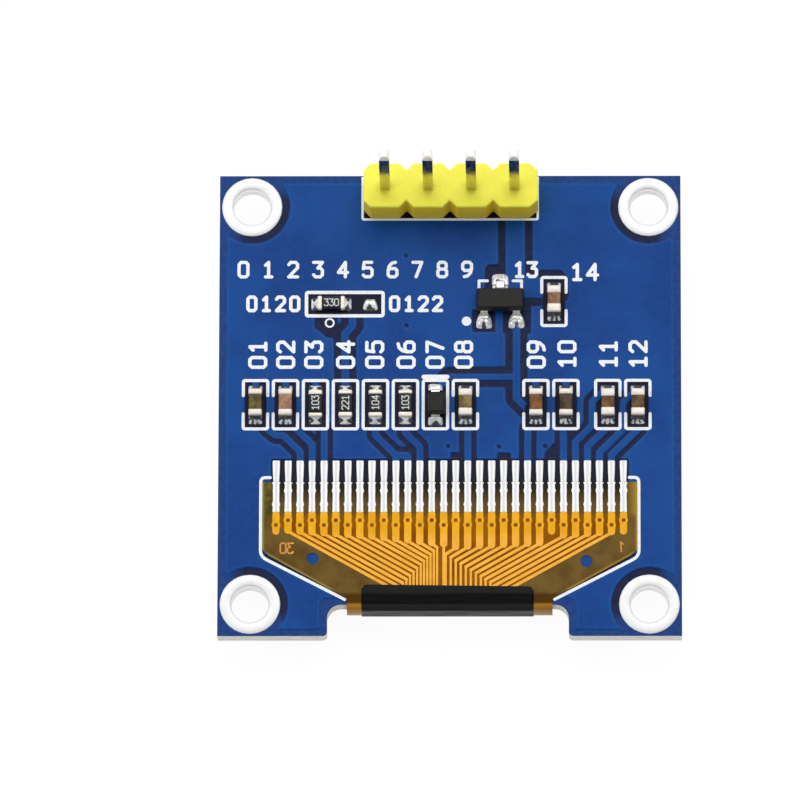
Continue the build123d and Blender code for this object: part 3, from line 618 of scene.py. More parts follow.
ink_outlines = []
for name in CHIP_ROW + ["diode_body"]:
    x = SPOT[name].x
    if name.startswith("capacitor"):
        ink_outlines += split_frame(x, 0.0)
    else:
        ink_outlines += whole_frame(x, 0.0, FRAME_X, FRAME_Y, LINE)
    if name == "diode_body":
        ink_outlines += strokes([(x - FRAME_X + 0.03, 1.68), (x + FRAME_X - 0.03, 1.68)], 0.26)

# frame of the supply capacitor, the address selector's frame and its two plain numbers
ink_outlines += split_frame(SPOT["capacitor_8"].x, SPOT["capacitor_8"].y)
SELECTOR = Vector((-6.18, 6.09))
ink_outlines += whole_frame(SELECTOR.x, SELECTOR.y, 2.25, 0.71, 0.2)
ink_outlines += numerals("0120", -11.87, 5.7, 0.82, 0.2, 0.84, stretch=1.02)
ink_outlines += numerals("0122", -3.49, 5.7, 0.82, 0.2, 0.84, stretch=1.02)

# a row of plain numbers, and one above or beside each part
ink_outlines += numerals("0123456789", -12.4, 7.75, 0.88, 0.19, 1.46, stretch=1.05)
label_shifts = (0.12, 0, -0.11, 0, -0.05, 0.03, -0.03, -0.11, 0.02, 0.06, 0.03, 0.02)
for number, name in enumerate(CHIP_ROW[:6] + ["diode_body"] + CHIP_ROW[6:], start=1):
    left = SPOT[name].x + 0.465 + label_shifts[number - 1]
    ink_outlines += numerals(f"{number:02d}", left, 2.27, 0.93, 0.2, 0.93, upright=False, stretch=1.12)
ink_outlines += numerals("13", 3.82, 7.76, 0.84, 0.2, 0.76, stretch=1.05)
ink_outlines += numerals("14", 7.17, 7.57, 0.92, 0.2, 0.9, stretch=1.1)

# corner marks of the regulator, the header's frame and the outline of the flexible circuit
for side in (-1, 1):
    edge = SPOT["regulator_body"].x + side * 1.25
    ink_outlines += strokes([(edge - side * 0.5, 7.5), (edge, 7.5), (edge, 7.02)], 0.17)
HEADER_FRAME = 5.15
header_line = [(-HEADER_FRAME, BOARD_Y - 0.12), (-HEADER_FRAME, 11.24), (HEADER_FRAME, 11.24),
               (HEADER_FRAME, BOARD_Y - 0.12)]
ink_outlines += strokes(softened(header_line, 0.1), 0.14)
for side in (-1, 1):
    line = [(side * 10.5, -4.4), (side * 11.05, -4.4), (side * 11.05, -9.15), (side * 6.12, -11.72)]
    ink_outlines += strokes(softened(line, 0.4), 0.18)
ink_outlines.append(disc(0.97, 5.05, 0.28))
ring_route = disc(-7.06, 4.95, 0.24)
ink_outlines += strokes(ring_route + ring_route[:1], 0.1)

ink_piece = plate("white_print", ink_outlines, SKIN_TOP - 0.002, INK_TOP)
white_ink = Finish("white epoxy ink", (244, 247, 250), roughness=0.6, specular=0.2)
thin_print = white_ink.patches(7.0, 4.0, 0.3, 0.75)
white_ink.colour(white_ink.mix(thin_print, (228, 236, 246), (252, 253, 254)))
white_ink.relief(16.0, 3.0, 0.008)
paint(ink_piece, white_ink)
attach(ink_piece, "root")
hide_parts("silkscreen_back")


# ---------------------------------------------------------------- plated mounting holes
# Each corner hole has a copper barrel with a broad flange on both faces, coated with solder
# that froze as a low rounded crown.
RING_OUTER = 1.775
RING_BORE = 1.1


class Recipe:
    """A geometry node tree under construction, with named sizes as its inputs."""

    def __init__(self, name, **sizes):
        self.tree = bpy.data.node_groups.new(name, "GeometryNodeTree")
        self.sizes = {}
        face = self.tree.interface
        face.new_socket("Geometry", in_out="INPUT", socket_type="NodeSocketGeometry")
        for label, value in sizes.items():
            kind = {int: "NodeSocketInt", float: "NodeSocketFloat", tuple: "NodeSocketVector"}[type(value)]
            socket = face.new_socket(label.replace("_", " ").capitalize(), in_out="INPUT", socket_type=kind)
            self.sizes[label] = (socket, value)
        face.new_socket("Geometry", in_out="OUTPUT", socket_type="NodeSocketGeometry")
        self.input = self.tree.nodes.new("NodeGroupInput")
        self.output = self.tree.nodes.new("NodeGroupOutput")

    def size(self, label):
        return self.input.outputs[self.sizes[label][0].name]

    def node(self, kind, settings=None, inputs=None, **links):
        """A node; what goes into its sockets is told by their numbers or by their names."""
        made = self.tree.nodes.new(kind)
        for name, value in (settings or {}).items():
            setattr(made, name, value)
        sockets = {made.inputs[place]: value for place, value in (inputs or {}).items()}
        sockets.update({made.inputs[name.replace("_", " ")]: value for name, value in links.items()})
        for socket, value in sockets.items():
            if isinstance(value, bpy.types.NodeSocket):
                self.tree.links.new(value, socket)
            else:
                socket.default_value = value
        return made

    def finish(self, geometry, material):
        whole = self.node("GeometryNodeRealizeInstances", Geometry=geometry).outputs[0]
        coated = self.node("GeometryNodeSetMaterial", Geometry=whole, Material=material).outputs[0]
        self.tree.links.new(coated, self.output.inputs[0])

    def cast(self, name, pattern):
        """Runs the tree on a pattern object and keeps the result as a plain mesh."""
        modifier = pattern.modifiers.new("recipe", "NODES")
        modifier.node_group = self.tree
        for socket, value in self.sizes.values():
            modifier[socket.identifier] = value
        graph = bpy.context.evaluated_depsgraph_get()
        mesh = bpy.data.meshes.new_from_object(pattern.evaluated_get(graph))
        mesh.name = name
        pattern.modifiers.clear()
        bpy.data.objects.remove(pattern)
        return link_piece(name, mesh)


def row_recipe(name, count, start, step, material, seed=0, unevenness=0.0):
    """Copies of the pattern in a straight row, each a little wider or narrower than the last."""
    recipe = Recipe(name, count=count, start=start, step=step, seed=seed, unevenness=unevenness)
    line = recipe.node("GeometryNodeMeshLine", Count=recipe.size("count"),
                       Start_Location=recipe.size("start"), Offset=recipe.size("step"))
    low, high = [recipe.node("ShaderNodeMath", {"operation": operation},
                             {0: 1.0, 1: recipe.size("unevenness")}).outputs[0]
                 for operation in ("SUBTRACT", "ADD")]
    chance = recipe.node("FunctionNodeRandomValue", {"data_type": "FLOAT"}, {2: low, 3: high},
                         Seed=recipe.size("seed"))
    scale = recipe.node("ShaderNodeCombineXYZ", X=chance.outputs[1], Y=1.0, Z=1.0)
    copies = recipe.node("GeometryNodeInstanceOnPoints", Points=line.outputs[0],
                         Instance=recipe.input.outputs["Geometry"], Scale=scale.outputs[0])
    recipe.finish(copies.outputs[0], material)
    return recipe


def turned(name, profile, sides):
    """A closed ring from its section, given as radii and heights in millimetres."""
    points, faces, count = [], [], len(profile)
    for side in range(sides):
        angle = 2 * math.pi * side / sides
        points += [(r * math.cos(angle), r * math.sin(angle), z) for r, z in profile]
    for side in range(sides):
        here, after = side * count, (side + 1) % sides * count
        for i in range(count):
            j = (i + 1) % count
            faces.append([here + i, after + i, after + j, here + j])
    return piece_from(name, points, faces, smooth=True)


def square_up(piece):
    """A piece with its faces turned outwards, as after a spin or a loft."""
    return reworked(piece, lambda shape: bmesh.ops.recalc_face_normals(shape, faces=shape.faces))


ring_low = height_of("mounting_ring_1", 0)
ring_section = [(RING_BORE, ring_low + 0.01), (RING_BORE, 2.93), (RING_BORE + 0.02, 2.98),
                (RING_BORE + 0.07, 3.012), (1.26, 3.03), (1.42, 3.036), (1.58, 3.03), (1.69, 3.014),
                (1.75, 2.99), (RING_OUTER, 2.95), (RING_OUTER, 2.9451), (1.16, 2.9451),
                (1.16, BOARD_FRONT - 0.0001), (RING_OUTER, BOARD_FRONT - 0.0001),
                (RING_OUTER - 0.02, ring_low + 0.004), (RING_BORE + 0.03, ring_low)]
ring_pattern = square_up(turned("ring_pattern", ring_section, 96))
tin = Finish("frozen tin", (246, 247, 248), roughness=0.34, metallic=0.1, specular=0.3)
tin.clouds(0.9, 3.0, (229, 229, 230), (242, 242, 242))
tin.roughness(tin.patches(2.0, 1.0, 0.3, 0.7, 0.3, 0.38))
tin.relief(0.8, 1.0, 0.012, 0.5)
from_ring = [tin.join("SUBTRACT", tin.join("ABSOLUTE", tin.along(axis), 0.0), abs(place))
             for axis, place in zip("XY", RING_SPOTS[0])]
squares = [tin.join("MULTIPLY", away, away) for away in from_ring]
from_axis = tin.join("SQRT", tin.join("ADD", *squares), 0.0)
tin.link(tin.spread(from_axis, RING_BORE + 0.015, RING_BORE + 0.06, 0.95, 0.1),
         tin.shader.inputs["Metallic"])
rings = Recipe("ring at each corner hole", pitch_x=2 * abs(RING_SPOTS[0].x) * MM,
               pitch_y=2 * abs(RING_SPOTS[0].y) * MM)
corners = rings.node("GeometryNodeMeshGrid", Size_X=rings.size("pitch_x"), Size_Y=rings.size("pitch_y"),
                     Vertices_X=2, Vertices_Y=2)
copies = rings.node("GeometryNodeInstanceOnPoints", Points=corners.outputs[0],
                    Instance=rings.input.outputs["Geometry"])
rings.finish(copies.outputs[0], tin.material)
ring_piece = rings.cast("mounting_rings", ring_pattern)
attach(ring_piece, "root")
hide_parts("mounting_ring_1", "mounting_ring_2", "mounting_ring_3", "mounting_ring_4")


# ---------------------------------------------------------------- ceramic capacitors
# Eight multilayer chips, 1.6 x 0.8 x 0.8 mm: a fired ceramic block, from olive to red brown,
# with a rounded tin cap at each end.
CHIP_FOOT = height_of("capacitor_1", 0)


def rounded_block(name, low, high, radius, segments=3, cuts=0, seed=0, roughen=0.0):
    """A block with rounded edges; roughen shifts its points a little, as firing and dipping do."""
    shape = bmesh.new()
    bmesh.ops.create_cube(shape, size=1.0)
    size = [h - l for l, h in zip(low, high)]
    middle = [(h + l) / 2 for l, h in zip(low, high)]
    for vertex in shape.verts:
        vertex.co = [(c * s + m) * MM for c, s, m in zip(vertex.co, size, middle)]
    bmesh.ops.bevel(shape, geom=shape.edges[:], offset=radius * MM, segments=segments, profile=0.5,
                    affect="EDGES")
    if cuts:
        long_edges = [e for e in shape.edges if e.calc_length() > 0.12 * MM]
        bmesh.ops.subdivide_edges(shape, edges=long_edges, cuts=cuts, use_grid_fill=True)
    if roughen:
        chance = np.random.default_rng(seed)
        shifts = chance.uniform(-roughen, roughen, (len(shape.verts), 3))
        for vertex, shift in zip(shape.verts, shifts):
            vertex.co += Vector(shift) * MM
    mesh = bpy.data.meshes.new(name)
    shape.to_mesh(mesh)
    shape.free()
    mesh.shade_smooth()
    return link_piece(name, mesh)


def joined(name, pieces):
    """Several pieces made one."""
    whole = bmesh.new()
    for piece in pieces:
        whole.from_mesh(piece.data)
        bpy.data.objects.remove(piece)
    mesh = bpy.data.meshes.new(name)
    whole.to_mesh(mesh)
    whole.free()
    return link_piece(name, mesh)


def ceramic(name, dark, light):
    made = Finish(name, light, roughness=0.42, specular=0.16)
    cloud = made.patches(2.4, 3.0, 0.35, 0.65)
    made.colour(made.mix(cloud, dark, light))
    made.relief(7.0, 3.0, 0.006)
    return made


cap_tin = Finish("dipped tin cap", (240, 236, 226), roughness=0.4, metallic=0.2)
cap_top = height_of("capacitor_1_terminals", 1)
dipped = cap_tin.mix(cap_tin.noise(3.5, 3.0), (204, 198, 189), (228, 221, 211))
# Below their top 0.1 to 0.3 mm the caps' sides are painted dark grey: painted shade and a painted
# reflection of the dark lacquer.
above_painted_shade = cap_tin.spread(cap_tin.along("Z"), cap_top - 0.3, cap_top - 0.1)
cap_tin.colour(cap_tin.mix(above_painted_shade, (92, 91, 93), dipped))
cap_tin.roughness(cap_tin.patches(9.0, 2.0, 0.3, 0.7, 0.26, 0.46))
cap_tin.relief(3.0, 2.0, 0.015)

# of each capacitor: the ceramic's darker and lighter tone, and how far its caps reach inwards
CAPACITOR_TONES = {
    "capacitor_1": ((70, 64, 30), (112, 100, 54), 0.38),
    "capacitor_2": ((140, 100, 76), (176, 134, 108), 0.36),
    "capacitor_3": ((96, 80, 44), (138, 120, 74), 0.42),
    "capacitor_4": ((92, 56, 24), (134, 88, 46), 0.38),
    "capacitor_5": ((50, 40, 26), (84, 68, 48), 0.37),
    "capacitor_6": ((84, 58, 30), (122, 88, 52), 0.48),
    "capacitor_7": ((70, 52, 30), (106, 82, 52), 0.46),
    "capacitor_8": ((112, 80, 58), (148, 110, 84), 0.5),
}


CHIP_LENGTH, CHIP_WIDTH = 0.8, 0.4  # half sizes of every chip, ends included


def chip_caps(name, x, y, top, cap, along_x=False, seed=0):
    """The two dipped ends of a chip, a little uneven in length."""
    chance = np.random.default_rng(seed)
    caps = []
    for side in (-1, 1):
        inner = CHIP_LENGTH - cap + chance.uniform(-0.03, 0.03)
        ends = sorted((side * inner, side * CHIP_LENGTH))
        across = (-CHIP_WIDTH, CHIP_WIDTH)
        xs, ys = (ends, across) if along_x else (across, ends)
        low = (x + xs[0], y + ys[0], CHIP_FOOT)
        high = (x + xs[1], y + ys[1], top)
        caps.append(rounded_block(f"{name}_cap", low, high, 0.08, 4, 1, seed + side, 0.003))
    return joined(f"{name}_terminals", caps)


for number in range(1, 9):
    name = f"capacitor_{number}"
    x, y, _ = SPOT[name]
    top = height_of(name + "_terminals", 1)
    low, high = (x - 0.375, y - 0.7, CHIP_FOOT + 0.02), (x + 0.375, y + 0.7, top - 0.025)
    body = rounded_block(name + "_body", low, high, 0.05, 3, 2, number, 0.004)
    dark, light, cap = CAPACITOR_TONES[name]
    paint(body, ceramic(f"ceramic of capacitor {number}", dark, light))
    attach(body, "root")
    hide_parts(name)
    caps = chip_caps(name, x, y, top, cap, seed=number)
    paint(caps, cap_tin)
    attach(caps, "root")
    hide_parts(name + "_terminals")


# ---------------------------------------------------------------- chip resistors
# Five flat alumina chips, 0.45 mm high. Black glass covers the resistive layer on top and
# carries a printed value; the wrapped ends are narrow ivory bars of tin.
glass_coat = Finish("black resistor glass", (20, 20, 22), roughness=0.32, specular=0.2)
glass_coat.clouds(3.0, 3.0, (14, 14, 17), (30, 30, 32))
glass_coat.relief(6.0, 2.0, 0.008)
ivory_tin = Finish("ivory tin end", (236, 230, 218), roughness=0.42, metallic=0.2, specular=0.3)
ivory_tin.clouds(4.0, 3.0, (218, 209, 194), (246, 242, 232))
ivory_tin.relief(5.0, 3.0, 0.03)
value_ink = Finish("printed value", (216, 218, 214), roughness=0.6, specular=0.3)
value_ink.clouds(18.0, 3.0, (178, 182, 180), (230, 232, 228))
VALUES = {1: "103", 2: "221", 3: "104", 4: "103", 5: "330"}

for number, value in VALUES.items():
    name = f"resistor_{number}"
    x, y, _ = SPOT[name]
    top = height_of(name + "_terminals", 1)
    flat = number == 5
    half_x, half_y = (0.62, 0.375) if flat else (0.375, 0.62)
    low, high = (x - half_x, y - half_y, CHIP_FOOT + 0.02), (x + half_x, y + half_y, top - 0.02)
    body = rounded_block(name + "_body", low, high, 0.035, 2, 2, 20 + number, 0.003)
    paint(body, glass_coat)
    if flat:
        shapes = numerals(value, x - 0.4, y - 0.2, 0.4, 0.055, 0.3)
    else:
        shapes = numerals(value, x + 0.2, y - 0.4, 0.4, 0.055, 0.3, upright=False)
    mark = plate(name + "_value", shapes, top - 0.03, top - 0.012)
    paint(mark, value_ink)
    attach(body, "root")
    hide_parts(name)
    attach(mark, "root")
    caps = chip_caps(name, x, y, top, 0.26, along_x=flat, seed=30 + number)
    paint(caps, ivory_tin)
    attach(caps, "root")
    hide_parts(name + "_terminals")


# ---------------------------------------------------------------- solder joints
# Tin solder drawn up the end of every part: a hollow wedge that spreads over the pad and thins
# out at its rim. The address selector keeps one tinned pad with no part on it.
JOINT_FOOT = height_of("chip_solder", 0)


def crest_at(across, out, pattern):
    """1 where the solder stands up in a crest, 0 in a hollow between two crests."""
    across = abs(across)
    if pattern == "fan":
        return min(1.0, 4 * out - 0.9) * (1 - min(across, abs(across - 0.4 - 0.36 * out)) / 0.34)
    if pattern == "corners":
        return (across - 0.42) / 0.24 - abs(out - 0.55) / 0.5
    if pattern == "cross":
        waist = 0.75 * (1 - out / 0.45) if out < 0.45 else 1.45 * (out - 0.45)
        return 1 - (across - waist) / 0.3 if across > waist else 1 - 0.5 * (waist - across)
    if pattern == "wings":
        return (across - 0.04 - 0.2 * out) / 0.16
    if pattern == "plain":
        return 1.0
    if pattern == "legs":
        return 1.0 if out < 0.4 else (across - 1.2 * (out - 0.4)) / 0.2
    return math.hypot(across / 0.55, out / 0.5) - 0.55


SWELL, CREST, RIM, LEAST = 0.045, 0.05, 0.03, 0.004  # heights of a joint's own forms


def joint_points(half_inner, half_outer, run, rise, seed, rows=12, columns=24, hollow=2.1, pattern="fan"):
    """Points, faces and crests of one joint that climbs towards +Y at y = 0 and ends at y = -run."""
    chance = np.random.default_rng(seed)
    lean, skew, drift = [chance.uniform(*limits) for limits in ((-0.12, 0.12), (0.85, 1.1), (-0.1, 0.1))]
    points, crests = [], []
    for row in range(rows + 1):
        out = row / rows
        half = half_inner + (half_outer - half_inner) * math.sin(out * math.pi / 2) ** 0.7
        for column in range(columns + 1):
            across = 2 * column / columns - 1
            height = rise * skew * (1 - out) ** hollow
            height *= (1 - abs(across) ** 5 * (0.35 + 0.5 * out)) * (1 + lean * across)
            crown = SWELL * math.sin(math.pi * min(1.0, out * 1.02)) * (1 - across ** 4)
            rim = RIM * (1 - abs(across) ** 8)
            corner = 1 - 0.16 * abs(across) ** 4
            wave = min(1.0, max(0.0, crest_at(across + drift * (1 - across ** 2), out, pattern)))
            crests.append(wave)
            crown += CREST * wave * math.sin(math.pi * min(1.0, 0.12 + out)) * (1 - abs(across) ** 8)
            crown = max(crown, LEAST)
            points.append((across * half, -run * out * corner, height + crown + rim * (1 - out ** 6)))
    top = len(points)
    foot = [(px, py, 0.0) for px, py, _ in points]
    faces, width = [], columns + 1
    for row in range(rows):
        for column in range(columns):
            a = row * width + column
            faces.append([a, a + width, a + width + 1, a + 1])
            faces.append([top + a, top + a + 1, top + a + width + 1, top + a + width])
    border = list(range(width)) + [r * width + columns for r in range(1, rows + 1)]
    border += [rows * width + c for c in range(columns - 1, -1, -1)]
    border += [r * width for r in range(rows - 1, 0, -1)]
    for here, after in zip(border, border[1:] + border[:1]):
        faces.append([here, after, top + after, top + here])
    return points + foot, faces, crests + [0.0] * top


class Joints:
    """All the solder joints, gathered in one mesh."""

    def __init__(self):
        self.points, self.faces, self.crests = [], [], []

    def add(self, x, y, heading, *sizes, **options):
        """One joint whose thick end is at x, y; heading 0 runs towards -Y, in degrees."""
        points, faces, crests = joint_points(*sizes, **options)
        self.crests += crests
        turn, base = math.radians(heading), len(self.points)
        for px, py, pz in points:
            self.points.append((x + px * math.cos(turn) - py * math.sin(turn),
                                y + px * math.sin(turn) + py * math.cos(turn), JOINT_FOOT + pz))
        self.faces += [[base + i for i in face] for face in faces]


joints = Joints()
CHIP_JOINT = (0.385, 0.43, 0.42)  # half widths at the chip and at the rim, and the run between
seed = 100
for name, (x, y, _) in SPOT.items():
    if name in ("diode_body", "regulator_body"):
        continue
    rise = 0.42 if name.startswith("capacitor") else 0.3
    for side in (-1, 1):
        seed += 1
        pattern = "cross" if name.startswith("resistor") else "fan" if side < 0 else "corners"
        if name == "resistor_5":
            joints.add(x + side * 0.79, y, side * 90, *CHIP_JOINT, rise, seed=seed, pattern=pattern)
        else:
            heading = 0 if side < 0 else 180
            joints.add(x, y + side * 0.79, heading, *CHIP_JOINT, rise, seed=seed, pattern=pattern)
diode = SPOT["diode_body"]
for side in (-1, 1):
    rise, hollow, pattern = (0.4, 1.3, "legs") if side < 0 else (0.18, 2.1, "plain")
    joints.add(diode.x, diode.y + side * 0.84, 0 if side < 0 else 180, 0.4, 0.44, 0.46, rise,
               seed=200 + side, hollow=hollow, pattern=pattern)
regulator = SPOT["regulator_body"]
for dx, side in ((-0.95, -1), (0.95, -1), (0.0, 1)):
    heading = 0 if side < 0 else 180
    pattern, more = ("wings", 0.0) if side < 0 else ("arch", 0.14)
    inner = 0.2 if side < 0 else 0.46
    joints.add(regulator.x + dx, regulator.y + side * 0.62, heading, inner, 0.5, 1.04 + more, 0.02,
               seed=230, hollow=0.6, pattern=pattern)
    joints.add(regulator.x + dx, regulator.y + side * 1.02, heading, inner + 0.04, 0.5, 0.62 + more, 0.16,
               seed=210 + int(dx * 2), hollow=1.5, pattern=pattern)
joints.add(-4.68, 6.3, 0, 0.27, 0.45, 0.66, 0.12, seed=219, hollow=1.0, pattern="legs")
joints.add(-4.68, 6.28, 180, 0.27, 0.3, 0.12, 0.12, seed=221, hollow=1.2, pattern="arch")
joint_piece = square_up(piece_from("solder_joints", joints.points, joints.faces))
joint_piece.data.shade_smooth()
joint_piece.data.attributes.new("crest", "FLOAT", "POINT").data.foreach_set("value", joints.crests)
fillet = Finish("solder fillet", (200, 202, 206), roughness=0.2, metallic=0.3, specular=0.6)
# The solder's colour is painted light: pale on the crests and in noise patches as painted highlights, dark
# blue grey elsewhere as painted reflections of the dark surroundings.
painted_highlight_share = fillet.join("ADD", fillet.attribute("crest"),
                     fillet.patches(4.5, 3.0, 0.25, 0.75, -0.42, 0.34))
painted_dark_reflections = fillet.mix(fillet.noise(2.0, 2.0), (36, 43, 62), (82, 85, 88))
bright = fillet.mix(fillet.patches(6.0, 2.0, 0.35, 0.6), (196, 200, 208), (250, 249, 246))
fillet.colour(fillet.mix(fillet.spread(painted_highlight_share, 0.1, 0.7), painted_dark_reflections, bright))
fillet.relief(1.5, 1.0, 0.006, 0.5)
paint(joint_piece, fillet)
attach(joint_piece, "root")
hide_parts("chip_solder")


# ---------------------------------------------------------------- diode and regulator
# Two moulded parts. The small diode has one flat lead at each end, the regulator two leads
# below and one above, bent down to the board as gull wings.
moulding = Finish("black moulding", (34, 34, 33), roughness=0.5, specular=0.2)
moulding.clouds(9.0, 4.0, (16, 16, 15), (36, 36, 33))
moulding.relief(24.0, 3.0, 0.01)
plating = Finish("tinned lead", (206, 205, 200), roughness=0.26, metallic=0.6)
plating.clouds(4.0, 3.0, (196, 194, 188), (240, 238, 232))
plating.relief(6.0, 2.0, 0.02)


def stacked(name, rings):
    """A closed body from four-cornered rings, the lowest first."""
    last = 4 * (len(rings) - 1)
    faces = [[3, 2, 1, 0], [last, last + 1, last + 2, last + 3]]
    for level in range(len(rings) - 1):
        for i in range(4):
            a, b = level * 4 + i, level * 4 + (i + 1) % 4
            faces.append([a, b, b + 4, a + 4])
    return piece_from(name, [point for ring in rings for point in ring], faces)


def smooth_small(piece, limit):
    """Smooth shading on a piece's rounded edges only: its faces below `limit` square millimetres."""
    for face in piece.data.polygons:
        face.use_smooth = face.area < limit * MM * MM


def tapered_moulding(name, node, draft, edge):
    """A moulded body that narrows towards its top and bottom from the line where the mould parts."""
    low, high = (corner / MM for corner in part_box(node))
    if node == "diode_body":
        low.x, high.x, high.y = low.x + 0.12, high.x + 0.03, high.y - 0.1
    part = low.z + (high.z - low.z) * 0.42
    levels = [(low.z, draft), (part, 0.0), (part + 0.04, 0.0), (high.z, draft)]

    def round_edges(shape):
        rims = [e for e in shape.edges if all(v.co.z > high.z * MM - 1e-7 for v in e.verts)]
        posts = [e for e in shape.edges if abs(e.verts[0].co.z - e.verts[1].co.z) > 0.1 * MM]
        bmesh.ops.bevel(shape, geom=rims + posts, offset=edge * MM, segments=3, profile=0.5,
                        affect="EDGES")

    rings = []
    for z, inset in levels:
        ring = oblong(low.x + inset, low.y + inset, high.x - inset, high.y - inset)
        rings.append([(x, y, z) for x, y in ring])
    body = reworked(stacked(name, rings), round_edges)
    smooth_small(body, 0.16)
    return body


def bent_lead(x, y, side, width, start, foot_end, shoulder, foot_z, thickness=0.12):
    """A gull wing lead: out of the body, down, and out again along the board."""
    line = [(start, shoulder), (start + 0.16, shoulder), (start + 0.3, foot_z + 0.06), (foot_end, foot_z)]
    line = softened(line, 0.09)
    upper = []
    for (along, z), before, after in zip(line, line[:1] + line[:-1], line[1:] + line[-1:]):
        run = Vector((after[0] - before[0], after[1] - before[1])).normalized()
        upper.append((along + run.y * thickness, z + run.x * thickness))
    section = upper + line[::-1]
    points, faces, count = [], [], len(section)
    for edge in (-width / 2, width / 2):
        points += [(x + edge, y + side * along, z) for along, z in section]
    for i in range(count):
        j = (i + 1) % count
        faces.append([i, j, count + j, count + i])
    half = len(upper)
    for base, order in ((0, 1), (count, -1)):
        for i in range(half - 1):
            quad = [base + i, base + i + 1, base + count - 2 - i, base + count - 1 - i]
            faces.append(quad[::order])
    return square_up(piece_from("lead", points, faces))


MOULDED_PARTS = (("diode_body", 0.06, 0.09, 0.5, 2.3, 0.3),
                 ("regulator_body", 0.07, 0.07, 0.42, 2.5, 0.42))
for node, draft, edge, lead_width, span, shoulder in MOULDED_PARTS:
    kind = node.split("_")[0]
    body = tapered_moulding(kind + "_moulding", node, draft, edge)
    paint(body, moulding)
    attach(body, "root")
    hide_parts(node)
    centre, (low, high) = SPOT[node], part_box(node)
    start, foot = (high.y - low.y) / 2 / MM - 0.02, height_of(kind + "_leads", 0)
    places = ((0, -1), (0, 1)) if kind == "diode" else ((-0.95, -1), (0.95, -1), (0, 1))
    leads = joined(kind + "_lead_set", [
        bent_lead(centre.x + dx, centre.y, side, lead_width, start, span / 2, foot + shoulder, foot)
        for dx, side in places])
    paint(leads, plating)
    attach(leads, "root")
    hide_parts(kind + "_leads")


# ---------------------------------------------------------------- pin header
# Four gold-free square brass wires, bright tin plated, pressed through a yellow nylon strip of
# four eight-sided cells. They are soldered from the display side in plated holes.
PIN_PITCH = 2.54
PIN_HALF = 0.305
PIN_SPOTS = [middle_of(f"header_pin_{number}") for number in (1, 2, 3, 4)]
housing_low, housing_high = (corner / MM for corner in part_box("header_housing"))


def bevelled(piece, width, segments=2, angle=35):
    """Rounds a piece's sharp edges for good."""
    modifier = piece.modifiers.new("rounding", "BEVEL")
    modifier.width = width * MM
    modifier.segments = segments
    modifier.limit_method = "ANGLE"
    modifier.angle_limit = math.radians(angle)
    graph = bpy.context.evaluated_depsgraph_get()
    mesh = bpy.data.meshes.new_from_object(piece.evaluated_get(graph))
    piece.modifiers.clear()
    piece.data = mesh
    return piece


def prism(name, outline, low, high):
    """A closed straight prism from one outline."""
    count = len(outline)
    points = [(x, y, high) for x, y in outline] + [(x, y, low) for x, y in outline]
    faces = [list(range(count)), list(range(2 * count - 1, count - 1, -1))]
    for i in range(count):
        j = (i + 1) % count
        faces.append([j, i, count + i, count + j])
    return piece_from(name, points, faces)


CELL_CUT, END_INSET = 0.42, 0.07
half, flat_side = PIN_PITCH / 2, PIN_PITCH / 2 - CELL_CUT
low_y, high_y = housing_low.y, housing_high.y
lower_side, upper_side = [], []
for spot in PIN_SPOTS:
    left = spot.x - half if spot is not PIN_SPOTS[0] else housing_low.x + END_INSET
    flat_left, flat_right = spot.x - flat_side, spot.x + flat_side
    lower_side += [(left, low_y + CELL_CUT), (flat_left, low_y), (flat_right, low_y)]
    upper_side += [(left, high_y - CELL_CUT), (flat_left, high_y), (flat_right, high_y)]
end_x = housing_high.x - END_INSET
strip_end = [(end_x, low_y + CELL_CUT), (end_x, high_y - CELL_CUT)]
housing = prism("header_strip", lower_side + strip_end + upper_side[::-1], housing_low.z, housing_high.z)
bevelled(housing, 0.09, 3)
nylon = Finish("yellow nylon", (236, 228, 78), roughness=0.46, specular=0.35)
nylon.set(**{"Subsurface Weight": 0.25, "Subsurface Scale": 0.0006, "Subsurface Radius": (1.0, 0.8, 0.3)})
moulded = nylon.mix(nylon.noise(1.1, 3.0), (244, 234, 60), (254, 250, 86))
# Below 5.2 to 5.5 mm the strip's walls are painted a deeper, more saturated yellow: painted shade on its
# sides.
nylon.colour(nylon.mix(nylon.spread(nylon.along("Z"), 5.2, 5.5), (246, 216, 26), moulded))
nylon.relief(5.0, 4.0, 0.02)
paint(housing, nylon)
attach(housing, "root")
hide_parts("header_housing")

# the pins: one wire with rounded edges and blunt points, copied along the row
pin_low, pin_high = (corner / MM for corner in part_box("header_pin_1"))
wire_levels = [(pin_low.z, 0.17), (pin_low.z + 0.5, PIN_HALF), (pin_high.z - 0.34, PIN_HALF),
               (pin_high.z, 0.19)]
wire_rings = [[(x, y, z) for x, y in oblong(-side, -side, side, side)] for z, side in wire_levels]
wire = bevelled(stacked("wire", wire_rings), 0.035, 2, 25)
smooth_small(wire, 0.1)
bright_tin = Finish("bright plated pin", (172, 168, 156), roughness=0.12, metallic=1.0)
# From 2.6 to 4.6 mm above the strip the pins turn to a dark mauve grey: a painted reflection of the shaded
# board. Their points are painted near white and less metallic: a painted highlight, partly the cut ends'
# own brighter metal.
height, clouds = bright_tin.along("Z"), bright_tin.noise(1.5, 3.0, stretch=(1, 1, 0.3))
lower = bright_tin.mix(clouds, (196, 187, 160), (224, 215, 188))
upper = bright_tin.mix(clouds, (136, 122, 120), (154, 140, 136))
drawn = bright_tin.mix(bright_tin.spread(height, housing_high.z + 2.6, housing_high.z + 4.6), lower, upper)
tip = bright_tin.spread(height, pin_high.z - 0.42, pin_high.z - 0.34)
bright_tin.colour(bright_tin.mix(tip, drawn, (250, 246, 238)))
bright_tin.link(bright_tin.spread(height, pin_high.z - 0.4, pin_high.z - 0.34, 1.0, 0.3),
                bright_tin.shader.inputs["Metallic"])
drawing_lines = bright_tin.noise(5.0, 2.0, stretch=(1, 1, 0.2))
